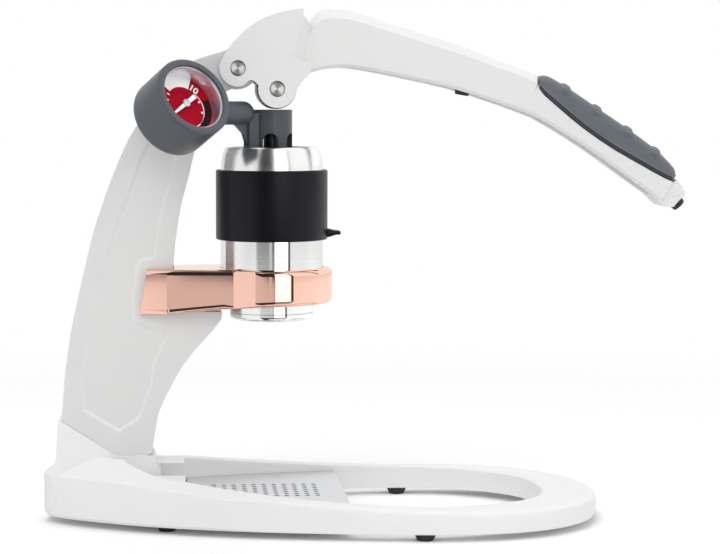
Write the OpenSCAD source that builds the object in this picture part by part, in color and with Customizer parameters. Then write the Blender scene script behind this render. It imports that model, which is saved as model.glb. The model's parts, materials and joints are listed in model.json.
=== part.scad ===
// Hand-lever espresso machine: a cast base and post carry a ring for the brew head,
// and a forked lever presses the head's plunger down through a roller.
// X points forward from the post to the lever's tip, Y runs across and Z points up.
// The origin lies on the table, under the middle of the machine's overall box.

/* [Pivots] */
// Distance of the lever's fulcrum behind the origin
fulcrum_back = 63.1; // [61:0.1:65]
// Height of the fulcrum above the table
fulcrum_z = 220.7; // [216:0.1:226]
// Distance from the fulcrum pin to the roller pin
crank_r = 21.3; // [20.6:0.1:22]
// Angle of the roller pin below the horizontal, seen from the fulcrum
crank_drop = 27.6; // [25:0.1:30]
// Radius of the roller that presses the plunger
roller_r = 9.6; // [9.3:0.1:9.9]
// Distance of the roller pin in front of the brew axis
roller_lead = 1.8; // [0.5:0.1:3]
// Radius of both pivot pins
pin_r = 3; // [2.5:0.1:3.4]
// Radius of the pins' turned heads
pin_head_r = 3.8; // [3.6:0.1:4.4]

/* [Lever] */
// Width between the fork's cheeks
fork_gap = 21; // [20.6:0.1:22]
// Thickness of each cheek
cheek_t = 6.5; // [5:0.1:7]
// Radius of the rounded lobe round the fulcrum pin
fulcrum_lobe_r = 8.8; // [8.2:0.1:9.2]
// Radius of the rounded lobe round the roller pin
roller_lobe_r = 9.1; // [8.6:0.1:9.3]
// Horizontal reach of the lever from the fulcrum to its tip
lever_reach = 220; // [205:1:235]
// Width of the lever's arm
arm_w = 24; // [22:0.5:26]
// Wall thickness of the arm's open channel
arm_wall = 2.6; // [2:0.1:4]
// Chamfer along the arm's two upper edges
arm_bevel = 3.6; // [2:0.1:4.5]
// Chamfer along the arm's two lower edges
arm_lip = 1.5; // [0.8:0.1:1.8]
// Width of the rubber grip
grip_w = 26.4; // [25:0.1:30]
// Thickness of the rubber grip over the arm
grip_t = 4.2; // [3:0.1:5]

/* [Post] */
// Thickness of the post across the machine
post_w = 24; // [23:0.5:25]
// Thickness of the post's neck and head, between the fork's cheeks
neck_w = 20; // [18:0.1:20.2]
// Radius of the head round the fulcrum pin
head_r = 10; // [9:0.1:10.5]
// Depth of the sunk panel on each side
panel_depth = 1; // [0.5:0.1:1.5]
// Radius of the bolt that holds the post down
post_bolt_r = 4; // [3:0.5:5]

/* [Base] */
// Overall length of the base
base_len = 273; // [265:1:281]
// Greatest width of the base
base_w = 133; // [128:1:140]
// Distance of the base's rear end behind the origin
base_back = 158; // [157:1:160]
// Height of the rim at the rear
rim_rear_h = 26; // [24:0.5:28]
// Height of the rim at the front
rim_front_h = 14; // [12:0.5:16]
// Height of the socket block's highest corner
socket_h = 51; // [48:0.5:54]
// Level of the floor under the drip tray
floor_h = 9; // [8:0.5:10]
// Rise of the rim's inner side up to the socket, at the rear
socket_rise = 7.5; // [5:0.5:9]
// Height of the base's lower edge above the table
foot_h = 3.5; // [3:0.1:5]
// Radius of a rubber foot where it meets the base
foot_top_r = 5.4; // [4.5:0.1:6]
// Radius of a rubber foot on the table
foot_tip_r = 3.8; // [3:0.1:4.4]

/* [Drip tray] */
// Thickness of the perforated plate
grille_t = 1.2; // [0.8:0.1:2]
// Pitch of the drain holes
hole_pitch = 5; // [4.6:0.1:5.4]
// Radius of a drain hole
hole_r = 1.3; // [1:0.1:1.6]
// Number of holes along the plate
hole_cols = 11; // [7:1:13]
// Number of holes across the plate
hole_rows = 7; // [5:1:9]
// Depth of the pan under the plate
pan_depth = 3.2; // [2.4:0.1:3.6]

/* [Brew head] */
// Outer radius of the steel cylinder
cyl_r = 25; // [24:0.1:26]
// Radius of the cylinder's bore
bore_r = 19; // [18:0.1:19.4]
// Height of the cylinder's upper rim above the table
cyl_top = 182.8; // [182:0.1:183.2]
// Height of the cylinder's rounded shoulder
shoulder_h = 11.5; // [8:0.1:12]
// Outer radius of the cylinder's upper rim
cyl_top_r = 22.5; // [21.8:0.1:23.6]
// Thickness of the silicone sleeve
sleeve_t = 2.3; // [1.5:0.1:3]
// Height of the sleeve's lower edge
sleeve_low = 137.8; // [135:0.1:140]
// Length of the sleeve along the cylinder
sleeve_len = 34; // [30:0.5:35]
// Outer radius of the plunger's stem
stem_r = 10; // [9.5:0.1:10.4]
// Wall of the plunger's stem
stem_wall = 2.4; // [2:0.1:3]
// Height of the piston's crown
piston_top = 152; // [148:0.5:153]
// Length of the piston
piston_len = 12; // [10:0.5:14]

/* [Holder] */
// Height of the ring's lower edge
ring_low = 106.8; // [106:0.1:108]
// Height of the ring's upper edge
ring_top = 124.2; // [122:0.1:126]
// Outer radius of the ring
ring_r = 29.6; // [29:0.1:31]
// Height of the ledge inside the ring, above its lower edge
ledge_up = 5; // [4:0.1:6]
// Radius of the portafilter below its flange
pf_r = 20.6; // [20.2:0.1:21]
// Height of the portafilter's underside
pf_low = 98.8; // [97:0.1:99.6]
// Height of the bracket's rear lower edge
arm_low = 102.2; // [101:0.1:103]
// Thickness of each side arm of the bracket
side_t = 5; // [4:0.1:6]

/* [Gauge] */
// Direction of the gauge arm, turned from across the machine to the rear
gauge_turn = 54.9; // [52:0.1:57]
// Upward tilt of the dial
gauge_tilt = 27.2; // [24:0.1:30]
// Distance from the brew axis to the gauge's axis
gauge_out = 57.7; // [56:0.1:60]
// Radius of the gauge's housing
gauge_r = 19; // [18:0.1:19.4]
// Depth of the gauge's housing
gauge_depth = 25; // [23:0.5:25.5]
// Distance from the arm's axis to the front of the housing
gauge_front = 17.4; // [16:0.1:18]
// Radius of the gauge's arm
gauge_arm_r = 5.65; // [5:0.05:5.8]
// Distance of the arm's axis below the plunger's top
gauge_arm_drop = 1.6; // [1.4:0.1:2.4]

/* [Hidden] */

$fn = 96;
// Gap between pieces that slide or turn on each other
run_gap = 0.3;
// Radial clearance of a pin in its bore
pin_gap = 0.05;
// Overreach of a cut past the face that it opens
over = 1;

fulcrum = [-fulcrum_back, fulcrum_z];
roller = fulcrum + crank_r * [cos(crank_drop), -sin(crank_drop)];
brew_x = roller[0] - roller_lead;
stem_top = roller[1] - roller_r - run_gap;
gauge_z = stem_top - gauge_arm_drop;
fork_w = fork_gap + 2 * cheek_t;
rear_x = -base_back;
front_x = base_len - base_back;
ledge_z = ring_low + ledge_up;
flange_r = cyl_r - 0.1;
flange_t = 2.5;
cyl_low = ledge_z + flange_t + 0.2;
seat_r = cyl_r + 0.25;
tray_front = brew_x + 35.5;
tray_rear = brew_x - 43;

// Smooth curve through a few points, with a given number of steps between each two
function knot(p, i) = p[min(max(i, 0), len(p) - 1)];
function spline(a, b, c, d, t) = 0.5 * (2 * b + (c - a) * t
    + (2 * a - 5 * b + 4 * c - d) * t * t + (3 * b - a - 3 * c + d) * t * t * t);
function curve(p, steps = 4) = concat([for (i = [0:len(p) - 2], k = [0:steps - 1])
    spline(knot(p, i - 1), p[i], p[i + 1], knot(p, i + 2), k / steps)], [p[len(p) - 1]]);
// Arc about a centre from one angle to another
function arc(c, r, a0, a1, steps = 8) =
    [for (k = [0:steps]) let (a = a0 + (a1 - a0) * k / steps) c + r * [cos(a), sin(a)]];
function unit(v) = v / norm(v);
function turned(p) = [for (i = [len(p) - 1:-1:0]) p[i]];
function clamp(v) = min(max(v, 0), 1);
function mirrored(p) = [for (i = [len(p) - 1:-1:0]) [p[i][0], -p[i][1]]];

// A flat cutter or boss that stands along X and Z, from one Y to another
module slab(y0, y1) {
    translate([0, y1, 0])
        rotate([90, 0, 0])
            linear_extrude(y1 - y0) children();
}

// A cylinder along Y, from one Y to another
module cross_rod(at, r, y0, y1) {
    translate([at[0], y0, at[1]])
        rotate([-90, 0, 0])
            cylinder(r = r, h = y1 - y0);
}

// Solid of equal rings of points, each joined to the next, open or closed into a loop
module skin(rings, loop = false) {
    m = len(rings);
    n = len(rings[0]);
    points = [for (r = rings, p = r) p];
    last = loop ? m - 1 : m - 2;
    sides = [for (k = [0:last], i = [0:n - 1]) let (j = (i + 1) % n, q = (k + 1) % m)
        [k * n + i, k * n + j, q * n + j, q * n + i]];
    caps = loop ? [] : [[for (i = [n - 1:-1:0]) i], [for (i = [0:n - 1]) (m - 1) * n + i]];
    polyhedron(points, concat(sides, caps), convexity = 10);
}

// The base

half_w = base_w / 2;
function along(f) = rear_x + f * base_len;
outer_half = curve([[rear_x, 0], [along(0.008), -half_w * 0.13], [along(0.045), -half_w * 0.275],
    [along(0.12), -half_w * 0.46], [along(0.21), -half_w * 0.63], [along(0.33), -half_w * 0.78],
    [along(0.5), -half_w * 0.91], [along(0.64), -half_w * 0.98], [along(0.74), -half_w],
    [along(0.83), -half_w * 0.94], [along(0.905), -half_w * 0.79], [along(0.96), -half_w * 0.55],
    [along(0.99), -half_w * 0.26], [front_x, 0]], 3);
inner_half = curve([[along(0.06), 0], [along(0.064), -half_w * 0.06], [along(0.085), -half_w * 0.13],
    [along(0.145), -half_w * 0.27], [along(0.225), -half_w * 0.48], [along(0.34), -half_w * 0.645],
    [along(0.505), -half_w * 0.775], [along(0.635), -half_w * 0.825], [along(0.72), -half_w * 0.8],
    [along(0.79), -half_w * 0.7], [along(0.845), -half_w * 0.55],
    [along(0.88), -half_w * 0.37], [along(0.894), -half_w * 0.18], [along(0.897), 0]], 3);
rim_slope = (rim_rear_h - rim_front_h - 1) / 1.05;
function rim_h(x) = let (g = clamp((x - along(0.24)) / (along(0.66) - along(0.24))))
    rim_rear_h - clamp((x - rear_x) / 60) - rim_slope * g * (1.6 - 0.6 * g) * 0.95
    - max(x - along(0.66), 0) * 0.012;
// Towards the rear the rim's inner side climbs to the socket, and its shoulder turns into a flat bevel
function rim_climb(x) = socket_rise * pow(clamp((along(0.23) - x) / 30), 2);
function flatness(x) = clamp((along(0.4) - x) / 26);

// One cut through the rim, from the outer lower edge over the top to the inner lower edge
function rim_cut(o, i) = let (
    across = i - o, w = norm(across), s = across / w,
    h = rim_h(o[0]), top = h + rim_climb(o[0]), hi = rim_h(i[0]) + rim_climb(o[0]),
    r = flatness(o[0]), edge = h - 3.6 - 0.5 * r + 2 * clamp((along(0.216) - o[0]) / 20),
    b = r * (w - 2.8) + (1 - r) * min(5, w * 0.5))
    [for (q = [[0.3 + 0.9 * r, foot_h], [0, foot_h + 0.4 + r],
        [0, edge], [0.8 - 0.3 * r, edge + 1.9 - 1.4 * r],
        [b * (0.52 + 0.34 * r), top - 0.6 - 0.04 * r * (top - edge)], [b, top],
        [w - 1.4, hi], [w - 0.4, hi - 0.6], [w, hi - 1.8], [w, foot_h]])
        let (p = o + s * q[0]) [p[0], p[1], q[1]]];

module base_rim() {
    n = len(outer_half);
    near = [for (k = [0:n - 1]) rim_cut(outer_half[k], inner_half[k])];
    far = [for (k = [n - 2:-1:1]) [for (p = near[k]) [p[0], -p[1], p[2]]]];
    skin(concat(near, far), true);
}

foot_spots = [for (f = [[along(0.22), 0.45 * half_w], [along(0.662), 0.895 * half_w]], s = [-1, 1])
    [f[0], s * f[1]]];
bolt_x = along(0.155);
joint_z = socket_h - 17.5;
socket_wall = 1.9;
// The line on which the post stands in its socket, from the rear to the front
joint_line = [[along(0.034), socket_h - 0.6], [along(0.0867), socket_h - 9.7],
    [along(0.13), joint_z], [along(0.186), joint_z]];
socket_path = concat([[rear_x + 6, floor_h], [along(0.21), floor_h], [along(0.21), rim_rear_h - 4],
    [along(0.198), joint_z - 0.6]], turned(joint_line),
    [[along(0.0275), socket_h - 1.6], [along(0.0235), rim_rear_h + 6], [along(0.014), rim_rear_h - 2]]);

module base_frame() color("white") {
    difference() {
        union() {
            base_rim();
            translate([0, 0, foot_h + 0.4])
                linear_extrude(floor_h - foot_h - 0.4)
                    polygon(floor_path());
            rear_block();
            slab(-post_w / 2 - socket_wall, post_w / 2 + socket_wall) polygon(socket_path);
        }
        for (s = foot_spots)
            translate([s[0], s[1], 0])
                cylinder(r = 1.5, h = foot_h + 6);
        translate([bolt_x, 0, 0])
            cylinder(r = post_bolt_r + 0.3, h = joint_z + over);
        translate([bolt_x, 0, 0])
            rotate(20) cylinder(r = 9.5, h = foot_h + 4);
        for (p = [-1, 1])
            translate([bolt_x + p * 15.4, 0, foot_h - over])
                rotate(20) cylinder(r = 4.6, h = 11.7);
    }
}
// Middle line of the rim up to some distance along the machine
function rim_middle(limit) = let (
    n = len(outer_half),
    side = [for (k = [3:n - 1])
        let (m = 0.45 * outer_half[k] + 0.55 * inner_half[k]) if (m[0] < limit - 2) m],
    last = side[len(side) - 1],
    near = concat(side, [[limit, last[1] - 0.5]]))
    concat(near, mirrored(near));
function floor_path() = rim_middle(tray_front - 1.5);

// The block behind the drip tray, with a recess in front of the post
recess_w = 35;
module rear_block() difference() {
    translate([0, 0, foot_h + 0.4])
        linear_extrude(rim_rear_h - 1.7 - foot_h - 0.4)
            polygon(rim_middle(tray_rear));
    translate([tray_rear - 19, -recess_w / 2, floor_h])
        cube([40, recess_w, rim_rear_h]);
}

module foot_pads() color("dimgray")
    for (s = foot_spots)
        translate([s[0], s[1], 0])
            difference() {
                cylinder(r1 = foot_tip_r, r2 = foot_top_r, h = foot_h);
                translate([0, 0, 1.2])
                    cylinder(r = 1.7, h = foot_h);
                translate([0, 0, -over])
                    cylinder(r = 2.6, h = over + 1.2);
            }

module foot_screws() color("silver")
    for (s = foot_spots)
        translate([s[0], s[1], 0.4])
            union() {
                cylinder(r = 2.4, h = 0.8);
                cylinder(r = 1.5, h = foot_h + 4);
            }

// The drip tray

function tray_path(gap) = let (
    n = len(inner_half),
    side = [for (k = [2:n - 1]) if (inner_half[k][0] < tray_front - 4) inner_half[k] + [0, gap]],
    edge = [for (p = side) if (p[0] > tray_rear + 1.2) p],
    last = edge[len(edge) - 1],
    near = concat([[tray_rear + 1.5, edge[0][1] + 1.5]], edge,
        [[tray_front, last[1] - (tray_front - last[0]) * 0.08]]))
    concat(near, mirrored(near));

module drip_pan() color("gainsboro")
    translate([0, 0, floor_h]) difference() {
        linear_extrude(pan_depth) polygon(tray_path(0.6));
        translate([0, 0, 0.8]) linear_extrude(pan_depth) polygon(tray_path(2));
    }

hole_mid = brew_x - 3.4;
module drip_grille() color("whitesmoke")
    translate([0, 0, floor_h + pan_depth]) difference() {
        linear_extrude(grille_t) polygon(tray_path(0.6));
        for (i = [0:hole_cols - 1], j = [0:hole_rows - 1])
            translate([hole_mid, 0, -over])
                translate([i - (hole_cols - 1) / 2, j - (hole_rows - 1) / 2, 0] * hole_pitch)
                    cylinder(r = hole_r, h = grille_t + 2 * over, $fn = 20);
    }

// The post

shelf_z = ring_low - 3.4;
nose_x = brew_x - 24.6;
front_at_ring = brew_x - 48.3;
post_path = concat(joint_line,
    curve([[along(0.194), joint_z + 1.2], [along(0.2025), joint_z + 15.4], [along(0.2125), joint_z + 25],
        [nose_x - 18.5, shelf_z - 25.1], [nose_x - 4.5, shelf_z - 9], [nose_x - 0.6, shelf_z - 3.6]], 3),
    [[nose_x, shelf_z - 1], [nose_x - 0.8, shelf_z], [front_at_ring - 1.4, shelf_z]],
    curve([[front_at_ring - 0.6, shelf_z + 4], [front_at_ring, ring_top], fulcrum + [-30, -82.3],
        fulcrum + [-27.4, -66], fulcrum + [-23.6, -51.9], fulcrum + [-20.2, -38], fulcrum + [-15, -24],
        fulcrum + [-9.5, -13]], 3),
    arc(fulcrum, head_r, -105, 110, 14),
    curve([fulcrum + [-9, 7.6], fulcrum + [-16, 5.6], fulcrum + [-24, 2], fulcrum + [-33, -7],
        fulcrum + [-43, -19.5], fulcrum + [-52.2, -33.5], fulcrum + [-59.7, -50.4],
        fulcrum + [-66.4, -68.8], fulcrum + [-70.9, -83.6],
        [along(0.0625), shelf_z + 4.1], [along(0.0513), shelf_z - 10.8], [along(0.04), socket_h + 20.3]], 3));

panel_path = concat(
    curve([fulcrum + [-28.7, -43.8], fulcrum + [-34, -61.4], fulcrum + [-37.7, -76.2],
        [brew_x - 56.8, ring_top + 4.8]], 3),
    [[brew_x - 62.5, ring_top + 4.3], [brew_x - 65.2, ring_top + 1.1], [brew_x - 67.6, shelf_z + 4.1],
        [brew_x - 66.5, shelf_z - 4], [brew_x - 61, shelf_z - 7], [brew_x - 53, shelf_z - 8.5],
        [brew_x - 51, shelf_z - 12], [brew_x - 57.4, shelf_z - 25.4]],
    curve([[brew_x - 58.7, shelf_z - 35.6], [brew_x - 62.9, joint_z + 22.6], [along(0.17), joint_z + 17.2]], 3),
    [[along(0.135), joint_z + 11.4], [along(0.0705), joint_z + 22.2], [along(0.0685), joint_z + 38]],
    curve([[along(0.0952), shelf_z + 4.1], [along(0.1092), shelf_z + 22.7], fulcrum + [-59.8, -76.1],
        fulcrum + [-53.1, -59.9], fulcrum + [-43.4, -34.9], fulcrum + [-36, -33]], 3));

module post() color("white") difference() {
    slab(-post_w / 2, post_w / 2) polygon(post_path);
    // The neck and head are slimmer, so that the fork's cheeks clear them
    for (s = [-1, 1])
        scale([1, s, 1])
            slab(neck_w / 2, post_w)
                translate(fulcrum) circle(r = 34);
    // Sunk side panels
    slab(post_w / 2 - panel_depth, post_w / 2 + over) polygon(turned(panel_path));
    slab(-post_w / 2 - over, -post_w / 2 + panel_depth) polygon(turned(panel_path));
    // Bore for the fulcrum bushes
    cross_rod(fulcrum, pin_r + 1.6, -post_w, post_w);
    // Blind hole for the bolt from below
    translate([bolt_x, 0, joint_z - over])
        cylinder(r = post_bolt_r, h = 29);
    // Cross holes for the bracket's screws
    for (z = screw_zs)
        cross_rod([screw_x, z], 2.2, -post_w, post_w);
}

module post_bolt() color("silver")
    translate([bolt_x, 0, 0])
        difference() {
            union() {
                translate([0, 0, foot_h + 2.4]) cylinder(r = post_bolt_r, h = joint_z + 22 - foot_h - 2.4);
                translate([0, 0, foot_h - 1.6]) cylinder(r = 6.5, h = 4);
            }
            translate([0, 0, foot_h - 1.6 - over])
                cylinder(r = 3, h = 2.6 + over, $fn = 6);
        }

module post_washer() color("silver")
    translate([bolt_x, 0, foot_h + 2.4])
        difference() {
            cylinder(r = 9, h = 1.6);
            translate([0, 0, -over]) cylinder(r = post_bolt_r + pin_gap, h = 1.6 + 2 * over);
        }

// The holder bracket

screw_x = brew_x - 56;
screw_zs = [arm_low + 6, ring_top - 6];
arm_y = post_w / 2 + side_t;
bracket_rear = brew_x - 64.6;
holder_half = concat(
    [[bracket_rear, -post_w / 2 - 1], [bracket_rear + 1.5, -arm_y + 3], [brew_x - 51.5, -arm_y - 0.6]],
    curve([[brew_x - 47, -arm_y], [brew_x - 36, -arm_y + 0.6], [brew_x - 24, -arm_y - 0.4]], 3),
    [[brew_x - 20.2, -arm_y - 1.6]],
    [for (a = [252:6:360]) [brew_x, 0] + ring_r * [cos(a), sin(a)]]);
// What is cut away beneath the bracket, which is deeper at the rear than at the ring
under_edge = concat([[brew_x - 52, arm_low - 2], [brew_x + 40, arm_low - 2]],
    curve([[brew_x + 40, ring_low], [brew_x + 2, ring_low], [brew_x - 20, arm_low + 3],
        [brew_x - 50, arm_low + 0.2]], 4),
    [[brew_x - 52, arm_low - 0.4]]);

module holder_bracket() color("#e0a58f") {
    n = len(holder_half);
    outline = concat(holder_half, mirrored([for (k = [0:n - 2]) holder_half[k]]));
    difference() {
        translate([0, 0, arm_low])
            linear_extrude(ring_top - arm_low)
                polygon(outline);
        slab(-60, 60) polygon(under_edge);
        // The rear end leans forward
        slab(-60, 60)
            polygon([[bracket_rear - 3, arm_low - 1], [bracket_rear, arm_low - 1],
                [bracket_rear + 3.8, ring_top + 1], [bracket_rear - 3, ring_top + 1]]);
        // The slot between the arms takes the post
        translate([bracket_rear - over, -post_w / 2, arm_low - over])
            cube([front_at_ring - bracket_rear + 4 + over, post_w, ring_top - arm_low + 2 * over]);
        translate([bracket_rear, -post_w / 2, arm_low - over])
            cube([nose_x + run_gap - bracket_rear, post_w, shelf_z - arm_low + over]);
        // Stepped bore for the portafilter and the cylinder
        translate([brew_x, 0, arm_low - over])
            cylinder(r = pf_r + 0.3, h = ring_top);
        translate([brew_x, 0, ledge_z])
            cylinder(r = seat_r, h = ring_top);
        for (z = screw_zs) {
            cross_rod([screw_x, z], 2.2, -arm_y + 2, arm_y + over);
            cross_rod([screw_x, z], 3.9, post_w / 2 + 2.2, arm_y + 3);
        }
    }
}

module holder_screws() color("silver")
    for (z = screw_zs) difference() {
        union() {
            cross_rod([screw_x, z], 2, -arm_y + 2.4, post_w / 2 + 3);
            cross_rod([screw_x, z], 3.7, post_w / 2 + 2.3, post_w / 2 + 4.2);
        }
        translate([screw_x, post_w / 2 + 2.8, z])
            rotate([-90, 0, 0])
                cylinder(r = 1.4, h = 5, $fn = 6);
    }

// The brew head

// The coffee's basket inside the portafilter
basket_r = 18;
basket_low = pf_low + 7.2;

module portafilter() color("gainsboro")
    translate([brew_x, 0, 0])
        rotate_extrude()
            polygon([[basket_r - 0.5, pf_low + 6], [pf_r, pf_low + 3.6], [pf_r, ledge_z + 0.1],
                [flange_r, ledge_z + 0.1], [flange_r, ledge_z + flange_t], [basket_r, ledge_z + flange_t],
                [basket_r, basket_low], [basket_r - 0.5, basket_low]]);

module portafilter_spout() color("gainsboro")
    translate([brew_x, 0, 0])
        rotate_extrude()
            polygon(concat([[3.5, pf_low + 2.2], [9, pf_low + 0.6], [9, pf_low]],
                arc([pf_r - 2.2, pf_low + 2.2], 2.2, -90, 0, 6),
                [[pf_r, pf_low + 3.4], [basket_r - 0.6, pf_low + 5.8], [3.5, pf_low + 4]]));

// Rings of holes through a screen in the basket
module screen_holes()
    for (ring = [1:3], k = [0:6 * ring - 1])
        rotate(k * 60 / ring)
            translate([ring * 4.6, 0, -over])
                cylinder(r = 1, h = 3, $fn = 16);

module filter_screen() color("silver")
    translate([brew_x, 0, basket_low])
        difference() {
            cylinder(r = basket_r - 0.1, h = 0.8);
            screen_holes();
        }

module dispersion_screen() color("silver")
    translate([brew_x, 0, ledge_z + flange_t - 3.6])
        difference() {
            union() {
                cylinder(r = basket_r - 0.2, h = 1);
                cylinder(r = 3, h = 3.2);
            }
            screen_holes();
        }

module brew_cylinder() color("silver")
    translate([brew_x, 0, 0])
        rotate_extrude()
            difference() {
                polygon(concat([[bore_r, cyl_low], [cyl_r - 0.6, cyl_low], [cyl_r, cyl_low + 0.6]],
                    curve([for (q = [[1, 1], [0.88, 0.7], [0.64, 0.39], [0.24, 0.1], [0, 0]])
                        [cyl_top_r + q[0] * (cyl_r - cyl_top_r), cyl_top - q[1] * shoulder_h]], 4),
                    [[bore_r, cyl_top]]));
                translate([bore_r + 1, cyl_low - over]) square([3, over + 1.6]);
            }

module cylinder_gasket() color("dimgray")
    translate([brew_x, 0, cyl_low])
        rotate_extrude()
            translate([bore_r + 1.1, -0.2]) square([2.8, 1.8]);

tab_z = sleeve_low + 2.6;
module grip_sleeve() color("black")
    difference() {
        union() {
            translate([brew_x, 0, sleeve_low])
                rotate_extrude()
                    polygon([[cyl_r + 0.02, 0.4], [cyl_r + 0.4, 0],
                        [cyl_r + sleeve_t - 0.5, 0], [cyl_r + sleeve_t, 0.5],
                        [cyl_r + sleeve_t, sleeve_len - 0.5], [cyl_r + sleeve_t - 0.5, sleeve_len],
                        [cyl_r + 0.4, sleeve_len], [cyl_r + 0.02, sleeve_len - 0.4]]);
            // Pull tab on the side of the handle
            translate([brew_x, 0, 0])
                slab(-5, 5)
                    polygon([[cyl_r + 1, tab_z - 1.6], [cyl_r + 4.4, tab_z - 1.2], [cyl_r + 5.6, tab_z - 0.6],
                        [cyl_r + 8.2, tab_z - 0.2], [cyl_r + 8.6, tab_z + 0.4], [cyl_r + 8.6, tab_z + 1.2],
                        [cyl_r + 8, tab_z + 1.7], [cyl_r + 1, tab_z + 2.6]]);
        }
        translate([brew_x, 0, 0])
            cylinder(r = cyl_r + 0.02, h = cyl_top);
    }

seal_zs = [piston_top - 4, piston_top - piston_len + 3];
module piston() color("dimgray")
    translate([brew_x, 0, 0])
        rotate_extrude()
            difference() {
                polygon([[0, piston_top - piston_len], [bore_r - 2, piston_top - piston_len],
                    [bore_r - 0.4, piston_top - piston_len + 1.2], [bore_r - 0.4, piston_top - 0.8],
                    [bore_r - 1.2, piston_top], [0, piston_top]]);
                for (z = seal_zs)
                    translate([bore_r - 2.4, z - 1.1]) square([3, 2.2]);
            }

module piston_seals() color("black")
    for (z = seal_zs)
        translate([brew_x, 0, z])
            rotate_extrude()
                polygon([[bore_r - 2.35, -1], [bore_r - 0.4, -1], [bore_r - 0.06, -0.5], [bore_r - 0.06, 0.5],
                    [bore_r - 0.4, 1], [bore_r - 2.35, 1]]);

slot_count = 5;
slot_r = 3.85;
slot_top = stem_top - 11.4;
slot_straight = slot_top - piston_top - 3 - slot_r;
module plunger_stem() color("#5d636b")
    translate([brew_x, 0, 0])
        difference() {
            translate([0, 0, piston_top])
                cylinder(r = stem_r, h = stem_top - piston_top);
            translate([0, 0, piston_top - over])
                cylinder(r = stem_r - stem_wall, h = stem_top - piston_top - 3 + over);
            // Arched windows round the stem
            for (k = [0:slot_count - 1])
                rotate(-96 + k * 360 / slot_count)
                    translate([0, 0, piston_top + 3]) {
                        rotate([90, 0, 90])
                            linear_extrude(stem_r + over)
                                union() {
                                    translate([-slot_r, 0]) square([2 * slot_r, slot_straight]);
                                    translate([0, slot_straight]) circle(r = slot_r);
                                }
                    }
        }

module stem_rod() color("darkgray")
    translate([brew_x, 0, piston_top])
        cylinder(r = 4, h = stem_top - 3 - piston_top);

// The gauge and its arm

// Places children on the gauge's axis: Z runs out of the dial, and the origin is on the arm's axis
module at_gauge() {
    translate([brew_x - gauge_out * sin(gauge_turn), -gauge_out * cos(gauge_turn), gauge_z])
        rotate([0, 0, 90 - gauge_turn])
            rotate([90 - gauge_tilt, 0, 0]) children();
}
// Places children on the arm: X runs outward from the brew axis along the arm
module at_arm() {
    translate([brew_x, 0, gauge_z])
        rotate([0, 0, 270 - gauge_turn]) children();
}

leg_low = piston_top;
module gauge_arm() color("#5d636b")
    difference() {
        union() {
            at_arm()
                translate([stem_r + 2.2, 0, 0])
                    rotate([0, 90, 0])
                        rotate_extrude()
                            polygon(concat([[0, gauge_out - gauge_r - stem_r + 3]],
                                arc([0, gauge_arm_r], gauge_arm_r, 270, 360, 6),
                                [[gauge_arm_r, gauge_out - gauge_r - stem_r + 3]]));
            // The leg runs down beside the stem into the cylinder
            at_arm()
                translate([0, 0, leg_low - gauge_z])
                    linear_extrude(gauge_z - leg_low)
                        polygon([[stem_r + 0.1, -3], [stem_r + 5.4, -2.4],
                            [stem_r + 5.4, 2.4], [stem_r + 0.1, 3]]);
            at_arm()
                rotate([90, 0, 0])
                    translate([0, 0, -1])
                        linear_extrude(2)
                            polygon([[stem_r + 5, -16], [stem_r + 6.4, -14], [stem_r + 8, -gauge_arm_r - 4],
                                [stem_r + 13, -gauge_arm_r + 0.4], [stem_r + 5, 0]]);
        }
        translate([brew_x, 0, leg_low - over])
            cylinder(r = stem_r + 0.1, h = gauge_z);
        at_gauge()
            translate([0, 0, cup_back - 10])
                cylinder(r = gauge_r + 0.1, h = gauge_depth + 20);
        // Passage for the pressure line
        at_arm()
            translate([stem_r + 3, 0, 0])
                rotate([0, 90, 0])
                    cylinder(r = 1.6, h = gauge_out);
    }

cup_back = gauge_front - gauge_depth;
cup_wall = 2.4;
dial_z = gauge_front - 8.4;
module gauge_housing() color("#5d636b")
    difference() {
        at_gauge()
            rotate_extrude()
                polygon(concat([[0, cup_back]],
                    arc([gauge_r - 4, cup_back + 4], 4, -90, 0, 6),
                    [[gauge_r, gauge_front - 1.2], [gauge_r - 0.8, gauge_front - 0.2],
                        [gauge_r - 1.4, gauge_front], [gauge_r - cup_wall - 0.6, gauge_front],
                        [gauge_r - cup_wall - 1, gauge_front - 0.6],
                        [gauge_r - cup_wall - 1, dial_z], [gauge_r - cup_wall - 3, dial_z],
                        [gauge_r - cup_wall - 3, cup_back + 3], [0, cup_back + 3]]));
        at_arm()
            translate([gauge_out - gauge_r - 6, 0, 0])
                rotate([0, 90, 0])
                    cylinder(r = 1.6, h = 10);
    }

module gauge_movement() color("#b08d57")
    at_gauge() {
        translate([-4, -9, cup_back + 3]) cube([8, 8, 5]);
        translate([0, 0, cup_back + 5.6])
            rotate(-60)
                rotate_extrude(angle = 270)
                    translate([9, 0]) circle(r = 1.6, $fn = 16);
        difference() {
            translate([0, 0, cup_back + 3]) cylinder(r = 3.4, h = dial_z - cup_back - 3.4);
            translate([0, 0, cup_back + 4]) cylinder(r = 0.85, h = gauge_depth);
        }
    }

lining_r = gauge_r - cup_wall - 1.05;
module gauge_dial() color("#b3122a")
    at_gauge()
        translate([0, 0, dial_z])
            difference() {
                cylinder(r = lining_r, h = 0.8);
                translate([0, 0, -over]) cylinder(r = 0.9, h = 3);
            }

module gauge_ring() color("silver")
    at_gauge()
        translate([0, 0, gauge_front])
            rotate_extrude()
                polygon([[lining_r, -1.6], [lining_r, dial_z + 0.85 - gauge_front],
                    [lining_r - 0.7, dial_z + 0.85 - gauge_front], [lining_r - 0.7, -5.2],
                    [lining_r - 1.2, -5.2], [lining_r - 1.2, -4.7], [lining_r - 0.7, -4.7],
                    [lining_r - 0.7, -1.5], [lining_r - 0.35, -1.1]]);

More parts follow.
